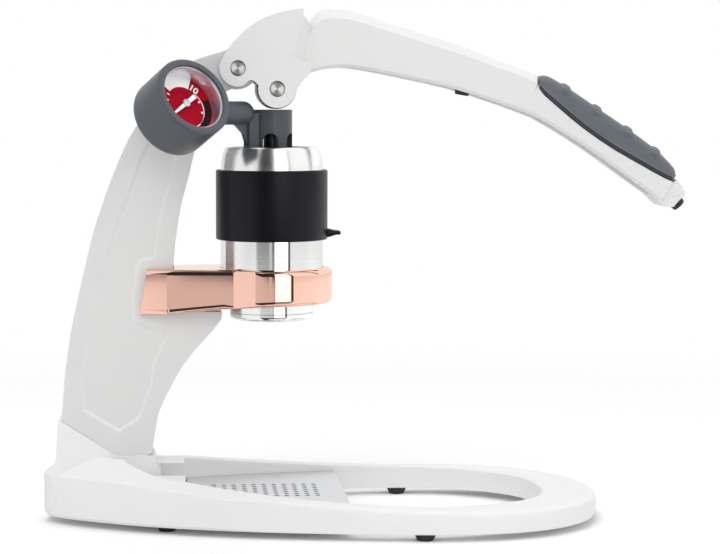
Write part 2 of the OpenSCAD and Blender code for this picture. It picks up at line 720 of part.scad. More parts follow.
module gauge_lens() color([0.9, 0.95, 1, 0.35])
    at_gauge()
        translate([0, 0, gauge_front - 4.6])
            cylinder(r = lining_r - 0.75, h = 1.4);

needle_turn = 213;
needle_len = 11;
module gauge_needle() color("white")
    at_gauge()
        translate([0, 0, dial_z]) {
            translate([0, 0, -4]) cylinder(r = 0.8, h = 6.4);
            translate([0, 0, 1.2]) cylinder(r = 2, h = 1);
            translate([0, 0, 1.3])
                rotate(needle_turn)
                    linear_extrude(0.5)
                        polygon([[-8.4, -0.95], [-8.4, 0.95], [-1, 0.95],
                            [needle_len, 0.3], [needle_len, -0.3], [-1, -0.95]]);
        }

// The lever

// Points on the lever from the fulcrum, with the reach stretched along the arm
stretch = (lever_reach - 60) / 160;
function on_arm(x, z) = fulcrum + (x < 60 ? [x, z] : [60 + (x - 60) * stretch, z * (0.5 + stretch / 2)]);

fork_path = concat(
    arc(fulcrum, fulcrum_lobe_r, 140, 287, 12),
    arc(fulcrum + [6.6, -8.2], 2.6, 148, 30, 5),
    arc(roller, roller_lobe_r, 168, 358, 14),
    [fulcrum + [32, -5], fulcrum + [34.7, -2.3], fulcrum + [35, 3], fulcrum + [35, 21.4],
        fulcrum + [31.4, 25.3], fulcrum + [31.5, 28.2]],
    curve([fulcrum + [30.6, 28.5], fulcrum + [18.7, 26.2], fulcrum + [8.2, 21.6],
        fulcrum + [0.6, 15.1], fulcrum + [-5.2, 8.4]], 3));

// Upper and lower line of the arm, one pair of points for each cut
arm_cuts = [[[34.1, 20.6], [34.1, -2.1]], [[35.7, 22.3], [35.7, -1.9]], [[38.4, 26.2], [38.6, -1.1]],
    [[41.6, 28.2], [42.6, -0.1]], [[48.5, 28.4], [50.1, 0.6]], [[57.3, 27], [57.1, 0.1]],
    [[69.1, 23.2], [66.1, -1.4]], [[86.9, 17.6], [80.1, -4.2]], [[111.2, 10], [103.1, -9.3]],
    [[127.6, 3.6], [119.1, -14.2]], [[138.4, -0.1], [130.6, -18]], [[146.2, -3.6], [141.2, -21.9]]];
// The grip's upper line, its lower edge and the arm's lower line
grip_cuts = [[[147.1, -3.9], [146.8, -9.2], [143.1, -22.7]], [[151.6, -3.4], [149.6, -13.1], [145.6, -23.7]],
    [[161.6, -9], [155.7, -18.8], [151.1, -26.7]], [[176.4, -18.8], [168.6, -29.3], [164.1, -34.4]],
    [[191.9, -29.2], [183.6, -39.4], [179.1, -44.4]], [[205.9, -39.5], [197.1, -46.6], [191.6, -53.4]],
    [[213.9, -47.4], [206.6, -51.4], [202.1, -60.7]], [[215.4, -50.2], [211, -54], [207.1, -64.9]]];
function line_of(cuts, i) = curve([for (c = cuts) on_arm(c[i][0], c[i][1])], 2);
arm_tops = line_of(arm_cuts, 0);
arm_lows = line_of(arm_cuts, 1);
pad_tops = line_of(grip_cuts, 0);
pad_sides = line_of(grip_cuts, 1);
pad_lows = line_of(grip_cuts, 2);
core_half = arm_w / 2 - 1.6;
// Depth of the grip's lower edge and of the arm's top, below the grip's upper line at one cut
function pad_drop(k) = (pad_sides[k] - pad_tops[k]) * unit(pad_lows[k] - pad_tops[k]);
function pad_roof(k) = min(grip_t, pad_drop(k) - arm_bevel);

// One cut through the arm: an upside-down channel. Its upper part may be narrower than its sides.
function arm_cut(t, b, half, core, cap, drop, step, rise, wall, roof) = let (d = unit(b - t), h = norm(b - t))
    turned([for (q = [[half, h - arm_lip], [half, step], [core, step - rise], [core, cap + drop],
        [core - arm_bevel, cap], [-core + arm_bevel, cap], [-core, cap + drop], [-core, step - rise],
        [-half, step], [-half, h - arm_lip], [-half + arm_lip, h], [-core + wall, h - 0.3],
        [-core + wall, min(roof, h - 0.6)], [core - wall, min(roof, h - 0.6)],
        [core - wall, h - 0.3], [half - arm_lip, h]])
        let (p = t + d * q[1]) [p[0], q[0], p[1]]]);

module arm_shell() {
    n = len(arm_tops);
    m = len(pad_tops);
    half = arm_w / 2;
    skin(concat(
        [for (k = [0:n - 1]) let (h = norm(arm_lows[k] - arm_tops[k]))
            arm_cut(arm_tops[k], arm_lows[k], half, half - 0.3, 0, arm_bevel * (1.4 - 0.5 * k / n),
                h * 0.6, 4, arm_wall, k < 4 ? h - 1.1 : arm_wall + 2)],
        [for (k = [0:m - 1]) let (h = norm(pad_lows[k] - pad_tops[k]))
            arm_cut(pad_tops[k], pad_lows[k], half, core_half, pad_roof(k), arm_bevel * 0.6,
                max(pad_drop(k), 5.2), 0.3, arm_wall, k > m - 3 ? h - 1.1 : grip_t + arm_wall)]));
}

// The blunt end past the grip
tip_path = concat([on_arm(203, -54), on_arm(204, -60), on_arm(205.8, -63.9)],
    curve([on_arm(208.6, -66.6), on_arm(211, -67.4), on_arm(213.6, -67.2), on_arm(215.4, -66.4)], 3),
    curve([on_arm(220.4, -61.9), on_arm(219.6, -60), on_arm(217.9, -57.2), on_arm(215.8, -54.6)], 3),
    [on_arm(213, -55.4)]);
end_at = on_arm(217.9, -64.15);
end_turn = 138;
under_at = on_arm(109.8, -10.3);
under_turn = 167;
bumper_stem = 2;

module lever_arm() color("white")
    difference() {
        union() {
            slab(-fork_w / 2, fork_w / 2) polygon(fork_path);
            arm_shell();
            slab(-arm_w / 2 + 0.8, arm_w / 2 - 0.8) polygon(tip_path);
            // Boss inside the channel for the bumper's stem
            translate([under_at[0], 0, under_at[1]])
                rotate([0, under_turn, 0])
                    translate([0, 0, -18]) cylinder(r = 4.6, h = 17.6);
        }
        // Blind holes for the stems of both bumpers
        translate([under_at[0], 0, under_at[1]])
            rotate([0, under_turn, 0])
                translate([0, 0, -10]) cylinder(r = bumper_stem + pin_gap, h = 11);
        translate([end_at[0], 0, end_at[1]])
            rotate([0, end_turn, 0])
                translate([0, 0, -5]) cylinder(r = bumper_stem + pin_gap, h = 6);
        // The slot between the cheeks clears the post's head and the roller
        slab(-fork_gap / 2, fork_gap / 2)
            union() {
                translate(fulcrum) circle(r = 24);
                translate(roller) circle(r = roller_r + 1.4);
                translate(fulcrum + [-20, -20]) square([40, 16]);
            }
        // The cheeks step in to the arm along a slanted facet
        step_facet(1);
        step_facet(-1);
        cross_rod(fulcrum, pin_r + pin_gap, -fork_w, fork_w);
        cross_rod(roller, pin_r, -fork_w, fork_w);
        for (at = [fulcrum, roller]) {
            cross_rod(at, pin_head_r + pin_gap, fork_w / 2 - head_sink - pin_gap, fork_w);
            cross_rod(at, pin_head_r + pin_gap, -fork_w, -fork_w / 2 + head_sink + pin_gap);
        }
    }

// What is cut from a cheek's front corner, down to the side of the arm
module step_facet(side) {
    y = arm_w / 2;
    deep = [[35.2, 32], [33.3, 12.4], [32.7, 2.6], [44, -3.2], [44, 32]];
    wide = [[33.6, 32], [27.1, 15.3], [24, 7.2], [44, -4], [44, 32]];
    rings = side < 0 ? [[-y - 6, wide], [-y - 0.25, deep]] : [[y + 0.25, deep], [y + 6, wide]];
    skin([for (r = rings) [for (p = r[1]) [fulcrum[0] + p[0], r[0], fulcrum[1] + p[1]]]]);
}

module grip_pad() color("#565b62") {
    m = len(pad_tops);
    w = grip_w / 2;
    in = core_half + run_gap;
    skin([for (k = [0:m - 1]) let (
        t = pad_tops[k], d = unit(pad_lows[k] - t),
        h = max(pad_drop(k), 4.9) - run_gap, roof = pad_roof(k) - run_gap)
        turned([for (q = [[w, h - 0.6], [w, 4], [w - 1.4, 1.3], [w - 5, 0], [-w + 5, 0], [-w + 1.4, 1.3],
            [-w, 4], [-w, h - 0.6], [-w + 0.6, h], [-in, h - 0.2], [-in, roof + 0.4], [-in + 0.4, roof],
            [in - 0.4, roof], [in, roof + 0.4], [in, h - 0.2], [w - 0.6, h]])
            let (p = t + d * min(q[1], h)) [p[0], q[0], p[1]]])]);
}

module bumper(at, turn, r, h, deep) {
    translate([at[0], 0, at[1]])
        rotate([0, turn, 0])
            rotate_extrude()
                polygon([[0, -deep], [bumper_stem, -deep], [bumper_stem, 0.15],
                    [r, 0.15], [r, h - 0.9], [r - 0.8, h], [0, h]]);
}
module end_bumper() color("black") bumper(end_at, end_turn, 3.5, 2.6, 4.4);
module under_bumper() color("black") bumper(under_at, under_turn, 3.7, 2.4, 9.4);

// The pivots

// Depth of the pins' heads in the cheeks
head_sink = 2.05;
// A dished head on one side of the fork
module turned_head(at, side)
    translate([at[0], side * (fork_w / 2 - head_sink), at[1]])
        rotate([-90 * side, 0, 0])
            rotate_extrude()
                polygon([[0, 0], [pin_head_r, 0], [pin_head_r, 1.7], [pin_head_r - 0.3, 2], [0, 1.2]]);
module turned_pin(at) {
    y = fork_w / 2 - head_sink;
    cross_rod(at, pin_r, -y, y);
    turned_head(at, -1);
}

module fulcrum_pin() color("silver") turned_pin(fulcrum);
module fulcrum_screw() color("silver") turned_head(fulcrum, 1);
module roller_pin() color("silver") turned_pin(roller);
module roller_screw() color("silver") turned_head(roller, 1);

module fulcrum_bushes() color("#b08d57")
    for (s = [-1, 1])
        scale([1, s, 1])
            difference() {
                cross_rod(fulcrum, pin_r + 1.6, 1, neck_w / 2);
                cross_rod(fulcrum, pin_r + pin_gap, 0, neck_w);
            }

module plunger_roller() color("dimgray")
    difference() {
        cross_rod(roller, roller_r, -neck_w / 2, neck_w / 2);
        cross_rod(roller, pin_r + pin_gap, -neck_w, neck_w);
    }

base_frame();
foot_pads();
foot_screws();
drip_pan();
drip_grille();
post();
post_bolt();
post_washer();
holder_bracket();
holder_screws();
portafilter();
portafilter_spout();
filter_screen();
dispersion_screen();
brew_cylinder();
cylinder_gasket();
grip_sleeve();
piston();
piston_seals();
plunger_stem();
stem_rod();
gauge_arm();
gauge_housing();
gauge_movement();
gauge_ring();
gauge_lens();
gauge_dial();
gauge_needle();
lever_arm();
grip_pad();
end_bumper();
under_bumper();
fulcrum_pin();
fulcrum_screw();
fulcrum_bushes();
roller_pin();
roller_screw();
plunger_roller();
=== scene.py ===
"""Looks for the hand-lever espresso machine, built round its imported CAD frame.

Everything is in metres, in the frame of the part: +X forward, +Y away from the camera, +Z up.
"""

import json
import math

import bmesh
import bpy
from mathutils import Matrix, Vector, geometry

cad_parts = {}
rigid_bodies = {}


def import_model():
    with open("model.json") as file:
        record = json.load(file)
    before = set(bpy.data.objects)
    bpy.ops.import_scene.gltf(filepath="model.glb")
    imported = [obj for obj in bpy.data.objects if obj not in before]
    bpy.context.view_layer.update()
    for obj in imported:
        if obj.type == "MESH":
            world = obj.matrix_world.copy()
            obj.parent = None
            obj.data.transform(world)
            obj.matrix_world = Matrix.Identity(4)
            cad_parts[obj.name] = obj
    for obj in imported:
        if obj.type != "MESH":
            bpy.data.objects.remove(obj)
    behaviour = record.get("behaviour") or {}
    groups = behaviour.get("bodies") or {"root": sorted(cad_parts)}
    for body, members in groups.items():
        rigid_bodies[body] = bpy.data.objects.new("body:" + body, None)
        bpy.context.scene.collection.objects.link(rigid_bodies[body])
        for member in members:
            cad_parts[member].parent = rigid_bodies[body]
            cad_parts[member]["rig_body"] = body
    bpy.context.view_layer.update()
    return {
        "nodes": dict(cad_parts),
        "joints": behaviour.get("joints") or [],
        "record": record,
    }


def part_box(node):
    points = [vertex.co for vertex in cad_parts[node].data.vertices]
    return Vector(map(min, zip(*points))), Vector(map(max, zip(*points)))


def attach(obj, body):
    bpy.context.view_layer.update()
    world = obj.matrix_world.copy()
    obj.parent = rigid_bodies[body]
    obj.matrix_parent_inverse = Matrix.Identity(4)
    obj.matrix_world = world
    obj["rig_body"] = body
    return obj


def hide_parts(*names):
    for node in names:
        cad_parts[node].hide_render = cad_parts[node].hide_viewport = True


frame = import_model()

MM = 0.001
JOINTS = {j["name"]: j for j in frame["joints"]}
FULCRUM = Vector(JOINTS["lever_press"]["pos_m"])
ROLLER = Vector(JOINTS["roller_spin"]["pos_m"])


def middle(node):
    """The middle of a CAD node's box."""
    low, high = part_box(node)
    return (low + high) / 2


# Mesh helpers

def make(name, points, faces, material, body, replaces, smooth):
    """A new mesh piece that rides on a body; faces are lists of indices into points."""
    mesh = bpy.data.meshes.new(name)
    mesh.from_pydata([tuple(p) for p in points], [], faces)
    mesh.validate()
    obj = bpy.data.objects.new(name, mesh)
    bpy.context.scene.collection.objects.link(obj)
    return finish_piece(obj, material, body, replaces, smooth)


def finish_piece(obj, material, body, replaces, smooth):
    """Colours and shades a piece, puts it on its body and hides the nodes it stands for."""
    bm = bmesh.new()
    bm.from_mesh(obj.data)
    bmesh.ops.recalc_face_normals(bm, faces=bm.faces)
    bm.to_mesh(obj.data)
    bm.free()
    obj.data.materials.clear()
    obj.data.materials.append(material)
    shade(obj, smooth)
    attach(obj, body)
    if replaces:
        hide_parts(*replaces)
    return obj


def shade(obj, angle):
    """Smooth shading that keeps edges sharper than the angle, in degrees."""
    mesh = obj.data
    for polygon in mesh.polygons:
        polygon.use_smooth = True
    bm = bmesh.new()
    bm.from_mesh(mesh)
    limit = math.radians(angle)
    for edge in bm.edges:
        edge.smooth = len(edge.link_faces) == 2 and edge.calc_face_angle(0.0) < limit
    bm.to_mesh(mesh)
    bm.free()


def curve(points, steps):
    """A smooth curve through the points, with a number of steps between each two."""
    out = []
    last = len(points) - 1
    for i in range(last):
        a, b = points[max(i - 1, 0)], points[i]
        c, d = points[i + 1], points[min(i + 2, last)]
        for k in range(steps):
            t = k / steps
            out.append(0.5 * (2 * b + (c - a) * t + (2 * a - 5 * b + 4 * c - d) * t * t
                              + (3 * b - a - 3 * c + d) * t * t * t))
    out.append(points[last])
    return out


def skin(rings):
    """Points and faces of a surface through rings of equal length, capped at both ends."""
    size = len(rings[0])
    last = (len(rings) - 1) * size
    points = [p for ring in rings for p in ring]
    faces = []
    for low in range(0, last, size):
        for i in range(size):
            j = (i + 1) % size
            faces.append([low + i, low + j, low + size + j, low + size + i])
    faces.append(list(range(size - 1, -1, -1)))
    faces.append([last + i for i in range(size)])
    return points, faces


# Points nearer to each other, or to a turned profile's axis, than this, in metres, are one
TINY = 1e-7


def revolve(profile, place, segments):
    """Points and faces of a profile of (radius, height) turned about the Z axis of a placement."""
    points, faces, rows = [], [], []
    for radius, height in profile:
        if radius < TINY:
            rows.append([len(points)])
            points.append(place @ Vector((0, 0, height)))
        else:
            rows.append(list(range(len(points), len(points) + segments)))
            for k in range(segments):
                a = 2 * math.pi * k / segments
                points.append(place @ Vector((radius * math.cos(a), radius * math.sin(a), height)))
    for low, high in zip(rows, rows[1:] + rows[:1]):
        for k in range(segments):
            j = (k + 1) % segments
            ring = [low[k % len(low)], low[j % len(low)], high[j % len(high)], high[k % len(high)]]
            ring = list(dict.fromkeys(ring))
            if len(ring) > 2:
                faces.append(ring)
    return points, faces


def rounded(corners, radii, steps):
    """A closed profile with each corner rounded by its own radius."""
    out = []
    n = len(corners)
    for i in range(n):
        p, here, q = Vector(corners[i - 1]), Vector(corners[i]), Vector(corners[(i + 1) % n])
        r = radii[i]
        if r <= 0:
            out.append(tuple(here))
            continue
        u, v = (p - here).normalized(), (q - here).normalized()
        half = u.angle(v) / 2
        reach = r / math.tan(half)
        a, b = here + u * reach, here + v * reach
        centre = here + (u + v).normalized() * (r / math.sin(half))
        start, end = a - centre, b - centre
        turn = start.angle_signed(end)
        for k in range(steps + 1):
            t = -turn * k / steps
            out.append((centre.x + start.x * math.cos(t) - start.y * math.sin(t),
                        centre.y + start.x * math.sin(t) + start.y * math.cos(t)))
    return out


# Edges of a CAD node that are sharper than this are rounded
EDGE_ANGLE = math.radians(30)
# CAD points nearer to each other than this, in metres, become one, and so do faces within this angle
SAME_POINT = 2e-5
SAME_PLANE = math.radians(0.6)
# How much large faces count beside small ones in the shading
FACE_WEIGHT = 80


def softened(node, material, width, name, smooth=32.0, segments=3, reshape=None, weight=None):
    """A copy of a CAD node with softly rounded edges, which stands for the node.

    reshape may move the copy's points first, and weight gives the share of the width that an edge gets.
    """
    source = frame["nodes"][node]
    obj = bpy.data.objects.new(name, source.data.copy())
    bpy.context.scene.collection.objects.link(obj)
    bm = bmesh.new()
    bm.from_mesh(obj.data)
    bmesh.ops.remove_doubles(bm, verts=bm.verts, dist=SAME_POINT)
    bmesh.ops.dissolve_limit(bm, angle_limit=SAME_PLANE, verts=bm.verts, edges=bm.edges)
    bmesh.ops.recalc_face_normals(bm, faces=bm.faces)
    if reshape:
        reshape(bm)
    if weight:
        layer = bm.edges.layers.float.new("bevel_weight_edge")
        for edge in bm.edges:
            if len(edge.link_faces) == 2 and edge.calc_face_angle(0.0) > EDGE_ANGLE:
                edge[layer] = weight(edge)
    bm.to_mesh(obj.data)
    bm.free()
    obj.data.materials.clear()
    obj.data.materials.append(material)
    body = source["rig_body"]
    bevel = obj.modifiers.new("edges", "BEVEL")
    bevel.width = width
    bevel.segments = segments
    bevel.limit_method = "WEIGHT" if weight else "ANGLE"
    bevel.angle_limit = EDGE_ANGLE
    bevel.harden_normals = False
    bevel.use_clamp_overlap = weight is None
    bevel.loop_slide = weight is None
    apply_modifiers(obj)
    shade(obj, smooth)
    even = obj.modifiers.new("even", "WEIGHTED_NORMAL")
    even.keep_sharp = True
    even.weight = FACE_WEIGHT
    apply_modifiers(obj)
    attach(obj, body)
    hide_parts(node)
    return obj


def apply_modifiers(obj):
    """Makes an object's modifiers part of its mesh."""
    bpy.context.view_layer.update()
    graph = bpy.context.evaluated_depsgraph_get()
    mesh = bpy.data.meshes.new_from_object(obj.evaluated_get(graph))
    obj.modifiers.clear()
    obj.data = mesh


# Materials

def math_node(nodes, links, operation, *values):
    """The output of a Math node, whose values are numbers or other nodes' outputs."""
    node = nodes.new("ShaderNodeMath")
    node.operation = operation
    for socket, value in zip(node.inputs, values):
        if isinstance(value, (int, float)):
            socket.default_value = value
        else:
            links.new(value, socket)
    return node.outputs["Value"]


# How finely a surface is clouded, how far its roughness strays, and the depth of its bump in metres
CLOUD_SCALE, CLOUD_DETAIL = 38.0, 3.0
ROUGH_SPREAD = 0.08
GRAIN_DETAIL, GRAIN_DEPTH = 2.0, 0.0002


def material(name, color, rough, metal=0.0, bump=None, tint=0.02, spec=0.5):
    """A surface with a slight, uneven tint and roughness, and an optional fine bump (scale, strength)."""
    mat = bpy.data.materials.new(name)
    mat.use_nodes = True
    nodes, links = mat.node_tree.nodes, mat.node_tree.links
    shader = nodes["Principled BSDF"]
    shader.inputs["Metallic"].default_value = metal
    shader.inputs["Specular IOR Level"].default_value = spec
    place = nodes.new("ShaderNodeTexCoord")
    cloud = nodes.new("ShaderNodeTexNoise")
    cloud.inputs["Scale"].default_value = CLOUD_SCALE
    cloud.inputs["Detail"].default_value = CLOUD_DETAIL
    links.new(place.outputs["Object"], cloud.inputs["Vector"])
    tones = nodes.new("ShaderNodeMix")
    tones.data_type = "RGBA"
    tones.inputs["A"].default_value = (*[c * (1 - tint) for c in color], 1)
    tones.inputs["B"].default_value = (*[min(c * (1 + tint), 1) for c in color], 1)
    links.new(cloud.outputs["Fac"], tones.inputs["Factor"])
    links.new(tones.outputs["Result"], shader.inputs["Base Color"])
    spread = nodes.new("ShaderNodeMapRange")
    spread.inputs["To Min"].default_value = rough * (1 - ROUGH_SPREAD)
    spread.inputs["To Max"].default_value = rough * (1 + ROUGH_SPREAD)
    links.new(cloud.outputs["Fac"], spread.inputs["Value"])
    links.new(spread.outputs["Result"], shader.inputs["Roughness"])
    if bump:
        grain = nodes.new("ShaderNodeTexNoise")
        grain.inputs["Scale"].default_value = bump[0]
        grain.inputs["Detail"].default_value = GRAIN_DETAIL
        links.new(place.outputs["Object"], grain.inputs["Vector"])
        relief = nodes.new("ShaderNodeBump")
        relief.inputs["Strength"].default_value = bump[1]
        relief.inputs["Distance"].default_value = GRAIN_DEPTH
        links.new(grain.outputs["Fac"], relief.inputs["Height"])
        links.new(relief.outputs["Normal"], shader.inputs["Normal"])
    return mat


# The stretch of the turning lines, long round Z and fine along it, their strength and depth in metres
TURNING = (12.0, 12.0, 2700.0)
TURNING_STRENGTH, TURNING_DEPTH = 0.05, 0.0001


def turned_steel(name, color, rough):
    """Stainless steel with fine turning lines round the Z axis."""
    mat = material(name, color, rough, metal=1.0, tint=0.01)
    nodes, links = mat.node_tree.nodes, mat.node_tree.links
    place = nodes.new("ShaderNodeTexCoord")
    stretch = nodes.new("ShaderNodeMapping")
    stretch.inputs["Scale"].default_value = TURNING
    links.new(place.outputs["Object"], stretch.inputs["Vector"])
    grain = nodes.new("ShaderNodeTexNoise")
    grain.inputs["Scale"].default_value = 1.0
    grain.inputs["Detail"].default_value = GRAIN_DETAIL
    links.new(stretch.outputs["Vector"], grain.inputs["Vector"])
    relief = nodes.new("ShaderNodeBump")
    relief.inputs["Strength"].default_value = TURNING_STRENGTH
    relief.inputs["Distance"].default_value = TURNING_DEPTH
    links.new(grain.outputs["Fac"], relief.inputs["Height"])
    shader = nodes["Principled BSDF"]
    links.new(relief.outputs["Normal"], shader.inputs["Normal"])
    return mat


# Height of the step from polish to brush over which one turns into the other
BRUSH_STEP = 0.002


def barrel_steel(name, color, polish, brush, edge):
    """Steel that is polished up to a height and brushed above it."""
    mat = turned_steel(name, color, polish)
    nodes, links = mat.node_tree.nodes, mat.node_tree.links
    place = nodes.new("ShaderNodeTexCoord")
    parts = nodes.new("ShaderNodeSeparateXYZ")
    links.new(place.outputs["Object"], parts.inputs["Vector"])
    rough = nodes.new("ShaderNodeMapRange")
    rough.inputs["From Min"].default_value = edge
    rough.inputs["From Max"].default_value = edge + BRUSH_STEP
    rough.inputs["To Min"].default_value = polish
    rough.inputs["To Max"].default_value = brush
    links.new(parts.outputs["Z"], rough.inputs["Value"])
    links.new(rough.outputs["Result"], nodes["Principled BSDF"].inputs["Roughness"])
    return mat


# The wedges of a faced head, painted shade and painted highlight: roughness, dark and bright tone, turn in
# radians, and the wave's ends at which the two tones are reached
WEDGE_ROUGH = 0.34
WEDGE_PAINTED_SHADE, WEDGE_PAINTED_HIGHLIGHT = (0.30, 0.29, 0.28, 1), (0.93, 0.93, 0.92, 1)
WEDGE_TURN = 0.35
WAVE_LOW, WAVE_HIGH = -1.0, 0.9


def painted_shine_steel(name, axis):
    """Steel faced on a lathe, its shine painted into its colour as highlight and shade wedges round an axis
    along Y.
    """
    mat = material(name, WEDGE_PAINTED_HIGHLIGHT[:3], WEDGE_ROUGH, metal=1.0)
    nodes, links = mat.node_tree.nodes, mat.node_tree.links
    place = nodes.new("ShaderNodeTexCoord")
    parts = nodes.new("ShaderNodeSeparateXYZ")
    links.new(place.outputs["Object"], parts.inputs["Vector"])
    x = math_node(nodes, links, "SUBTRACT", parts.outputs["X"], axis.x)
    z = math_node(nodes, links, "SUBTRACT", parts.outputs["Z"], axis.z)
    angle = math_node(nodes, links, "ARCTAN2", z, x)
    turned = math_node(nodes, links, "MULTIPLY_ADD", angle, 2.0, WEDGE_TURN)
    wave = math_node(nodes, links, "COSINE", turned)
    wedge = nodes.new("ShaderNodeMapRange")
    wedge.interpolation_type = "SMOOTHSTEP"
    wedge.inputs["From Min"].default_value = WAVE_LOW
    wedge.inputs["From Max"].default_value = WAVE_HIGH
    links.new(wave, wedge.inputs["Value"])
    tone = nodes.new("ShaderNodeMix")
    tone.data_type = "RGBA"
    tone.inputs["A"].default_value = WEDGE_PAINTED_SHADE
    tone.inputs["B"].default_value = WEDGE_PAINTED_HIGHLIGHT
    links.new(wedge.outputs["Result"], tone.inputs["Factor"])
    links.new(tone.outputs["Result"], nodes["Principled BSDF"].inputs["Base Color"])
    return mat


LENS_IOR, LENS_ROUGH, LENS_CLOUD = 1.04, 0.02, 20.0


def glass(name):
    """Clear glass that hardly bends light, with a slightly uneven polish."""
    mat = bpy.data.materials.new(name)
    mat.use_nodes = True
    nodes, links = mat.node_tree.nodes, mat.node_tree.links
    shader = nodes["Principled BSDF"]
    shader.inputs["Base Color"].default_value = (1, 1, 1, 1)
    shader.inputs["Transmission Weight"].default_value = 1.0
    shader.inputs["IOR"].default_value = LENS_IOR
    place = nodes.new("ShaderNodeTexCoord")
    cloud = nodes.new("ShaderNodeTexNoise")
    cloud.inputs["Scale"].default_value = LENS_CLOUD
    links.new(place.outputs["Object"], cloud.inputs["Vector"])
    spread = nodes.new("ShaderNodeMapRange")
    spread.inputs["To Min"].default_value = 0.0
    spread.inputs["To Max"].default_value = LENS_ROUGH
    links.new(cloud.outputs["Fac"], spread.inputs["Value"])
    links.new(spread.outputs["Result"], shader.inputs["Roughness"])
    return mat


# Bumps as (scale, strength), and the colour of the barrel's and other turned steel
ENAMEL_GRAIN, GRIP_GRAIN, METAL_GRAIN = (700.0, 0.12), (1800.0, 0.15), (900.0, 0.05)
STEEL_COLOR = (0.93, 0.925, 0.915)
POLISH, BRUSH, BRUSHED_FROM = 0.08, 0.22, 0.168

WHITE = material("white_enamel", (0.78, 0.78, 0.775), 0.42, bump=ENAMEL_GRAIN)
# One white enamel in lit and shaded copies: the base's is painted lighter and the post's darker than the
# lever's, painted light and painted shade
BASE_WHITE_PAINTED_LIGHT = material("base_enamel_painted_light", (0.865, 0.865, 0.87), 0.42, bump=ENAMEL_GRAIN)
POST_WHITE_PAINTED_SHADE = material("post_enamel_painted_shade", (0.735, 0.735, 0.73), 0.42, bump=ENAMEL_GRAIN)
RUBBER = material("dark_rubber", (0.02, 0.02, 0.022), 0.6, bump=(1500.0, 0.2))
GRIP = material("grip_rubber", (0.12, 0.132, 0.155), 0.5, bump=GRIP_GRAIN, tint=0.12)
# Painted highlight and painted shade for the grip's lower edge: a pale line and a dark band
GRIP_LINE_PAINTED_HIGHLIGHT = material("grip_line_painted_highlight", (0.24, 0.25, 0.28), 0.5, bump=GRIP_GRAIN)
GRIP_BAND_PAINTED_SHADE = material("grip_band_painted_shade", (0.045, 0.050, 0.060), 0.5, bump=GRIP_GRAIN)
SILICONE = material("black_silicone", (0.003, 0.003, 0.0065), 0.36, bump=(300.0, 0.02), spec=0.24)
PLASTIC = material("grey_plastic", (0.075, 0.085, 0.10), 0.36, bump=(1600.0, 0.08))
STEEL = turned_steel("turned_steel", STEEL_COLOR, POLISH)
BARREL = barrel_steel("barrel_steel", STEEL_COLOR, POLISH, BRUSH, BRUSHED_FROM)
SATIN = material("satin_steel", (0.80, 0.81, 0.83), 0.34, metal=1.0, bump=METAL_GRAIN)
FASTENER = material("fastener_steel", (0.55, 0.55, 0.55), 0.3, metal=1.0, bump=METAL_GRAIN)
COPPER = material("rose_copper", (1.0, 0.61, 0.495), 0.05, metal=1.0, tint=0.01)
BRASS = material("plain_brass", (0.66, 0.48, 0.22), 0.3, metal=1.0)
LENS = glass("clear_lens")
DIAL = material("dial_print", (0.33, 0.001, 0.013), 0.5, spec=0.05)
PIN_STEEL = {
    "fulcrum": painted_shine_steel("fulcrum_spun_steel", FULCRUM),
    "roller": painted_shine_steel("roller_spun_steel", ROLLER),
}
LINING = material("gauge_lining", (0.86, 0.85, 0.93), 0.30, metal=0.9)
DARK_STEEL = material("dark_steel", (0.05, 0.05, 0.055), 0.4, metal=1.0)
MARKS = material("dial_marks", (0.85, 0.84, 0.83), 0.5, spec=0.1)
DARK_MARKS = material("dial_dark_marks", (0.012, 0.008, 0.01), 0.5, spec=0.05)

BY_SLOT = {
    "cast_white": WHITE, "rubber_grey": RUBBER, "steel": FASTENER, "steel_satin": SATIN,
    "steel_polished": STEEL, "copper": COPPER, "seal_black": RUBBER, "silicone_black": SILICONE,
    "plastic_dark": PLASTIC, "brass": BRASS, "clear": LENS, "dial_red": DIAL, "needle_white": MARKS,
}
BY_NODE = {"brew_cylinder": BARREL, "stem_rod": DARK_STEEL}
for entry in frame["record"]["subparts"]:
    node = frame["nodes"][entry["node"]]
    node.data.materials.clear()
    node.data.materials.append(BY_NODE.get(entry["node"], BY_SLOT[entry["material_slot"]]))


# Pieces

def on_lever(x, z):
    """A point of the lever, in metres, from millimetres measured from the fulcrum."""
    return Vector((FULCRUM.x + x * MM, FULCRUM.z + z * MM))


# The grip from the side, in millimetres from the fulcrum: its crown, its lower edge, the arm's lower
# side, toward which each section points, and the crests of its ribs
GRIP_TOP = [(147.1, -3.9), (151.6, -3.4), (161.6, -9.0), (176.4, -18.8), (191.9, -29.2), (205.9, -39.5),
            (213.9, -47.4), (215.4, -50.2)]
GRIP_EDGE = [(146.8, -9.2), (149.6, -13.1), (155.7, -18.8), (168.6, -29.3), (183.6, -39.4), (197.1, -46.6),
             (206.6, -51.4), (211.0, -54.0)]
GRIP_LOW = [(143.1, -22.7), (145.6, -23.7), (151.1, -26.7), (164.1, -34.4), (179.1, -44.4), (191.6, -53.4),
            (202.1, -60.7), (207.1, -64.9)]
GRIP_RIBS = [(161.0, -8.6), (176.4, -18.8), (191.9, -29.2), (205.9, -39.5)]
# Half widths of the grip outside and inside, the height of its crown and its least depth
GRIP_HALF, GRIP_CORE = 13.2 * MM, 10.7 * MM
CROWN, GRIP_LEAST = 4.2 * MM, 4.6 * MM
# How far the hollow's roof stays above the lower edge, and that edge short of its own line
ROOF_CLEAR, GRIP_LIFT = 3.3 * MM, 0.3 * MM
RIB_LENGTH, RIB_HEIGHT, RIB_REACH = 5.2 * MM, 1.1 * MM, 4.6 * MM
# How long a rib takes to rise on its upper side and to fall on its lower side
RIB_RISE, RIB_FALL = 1.0 * MM, 1.8 * MM
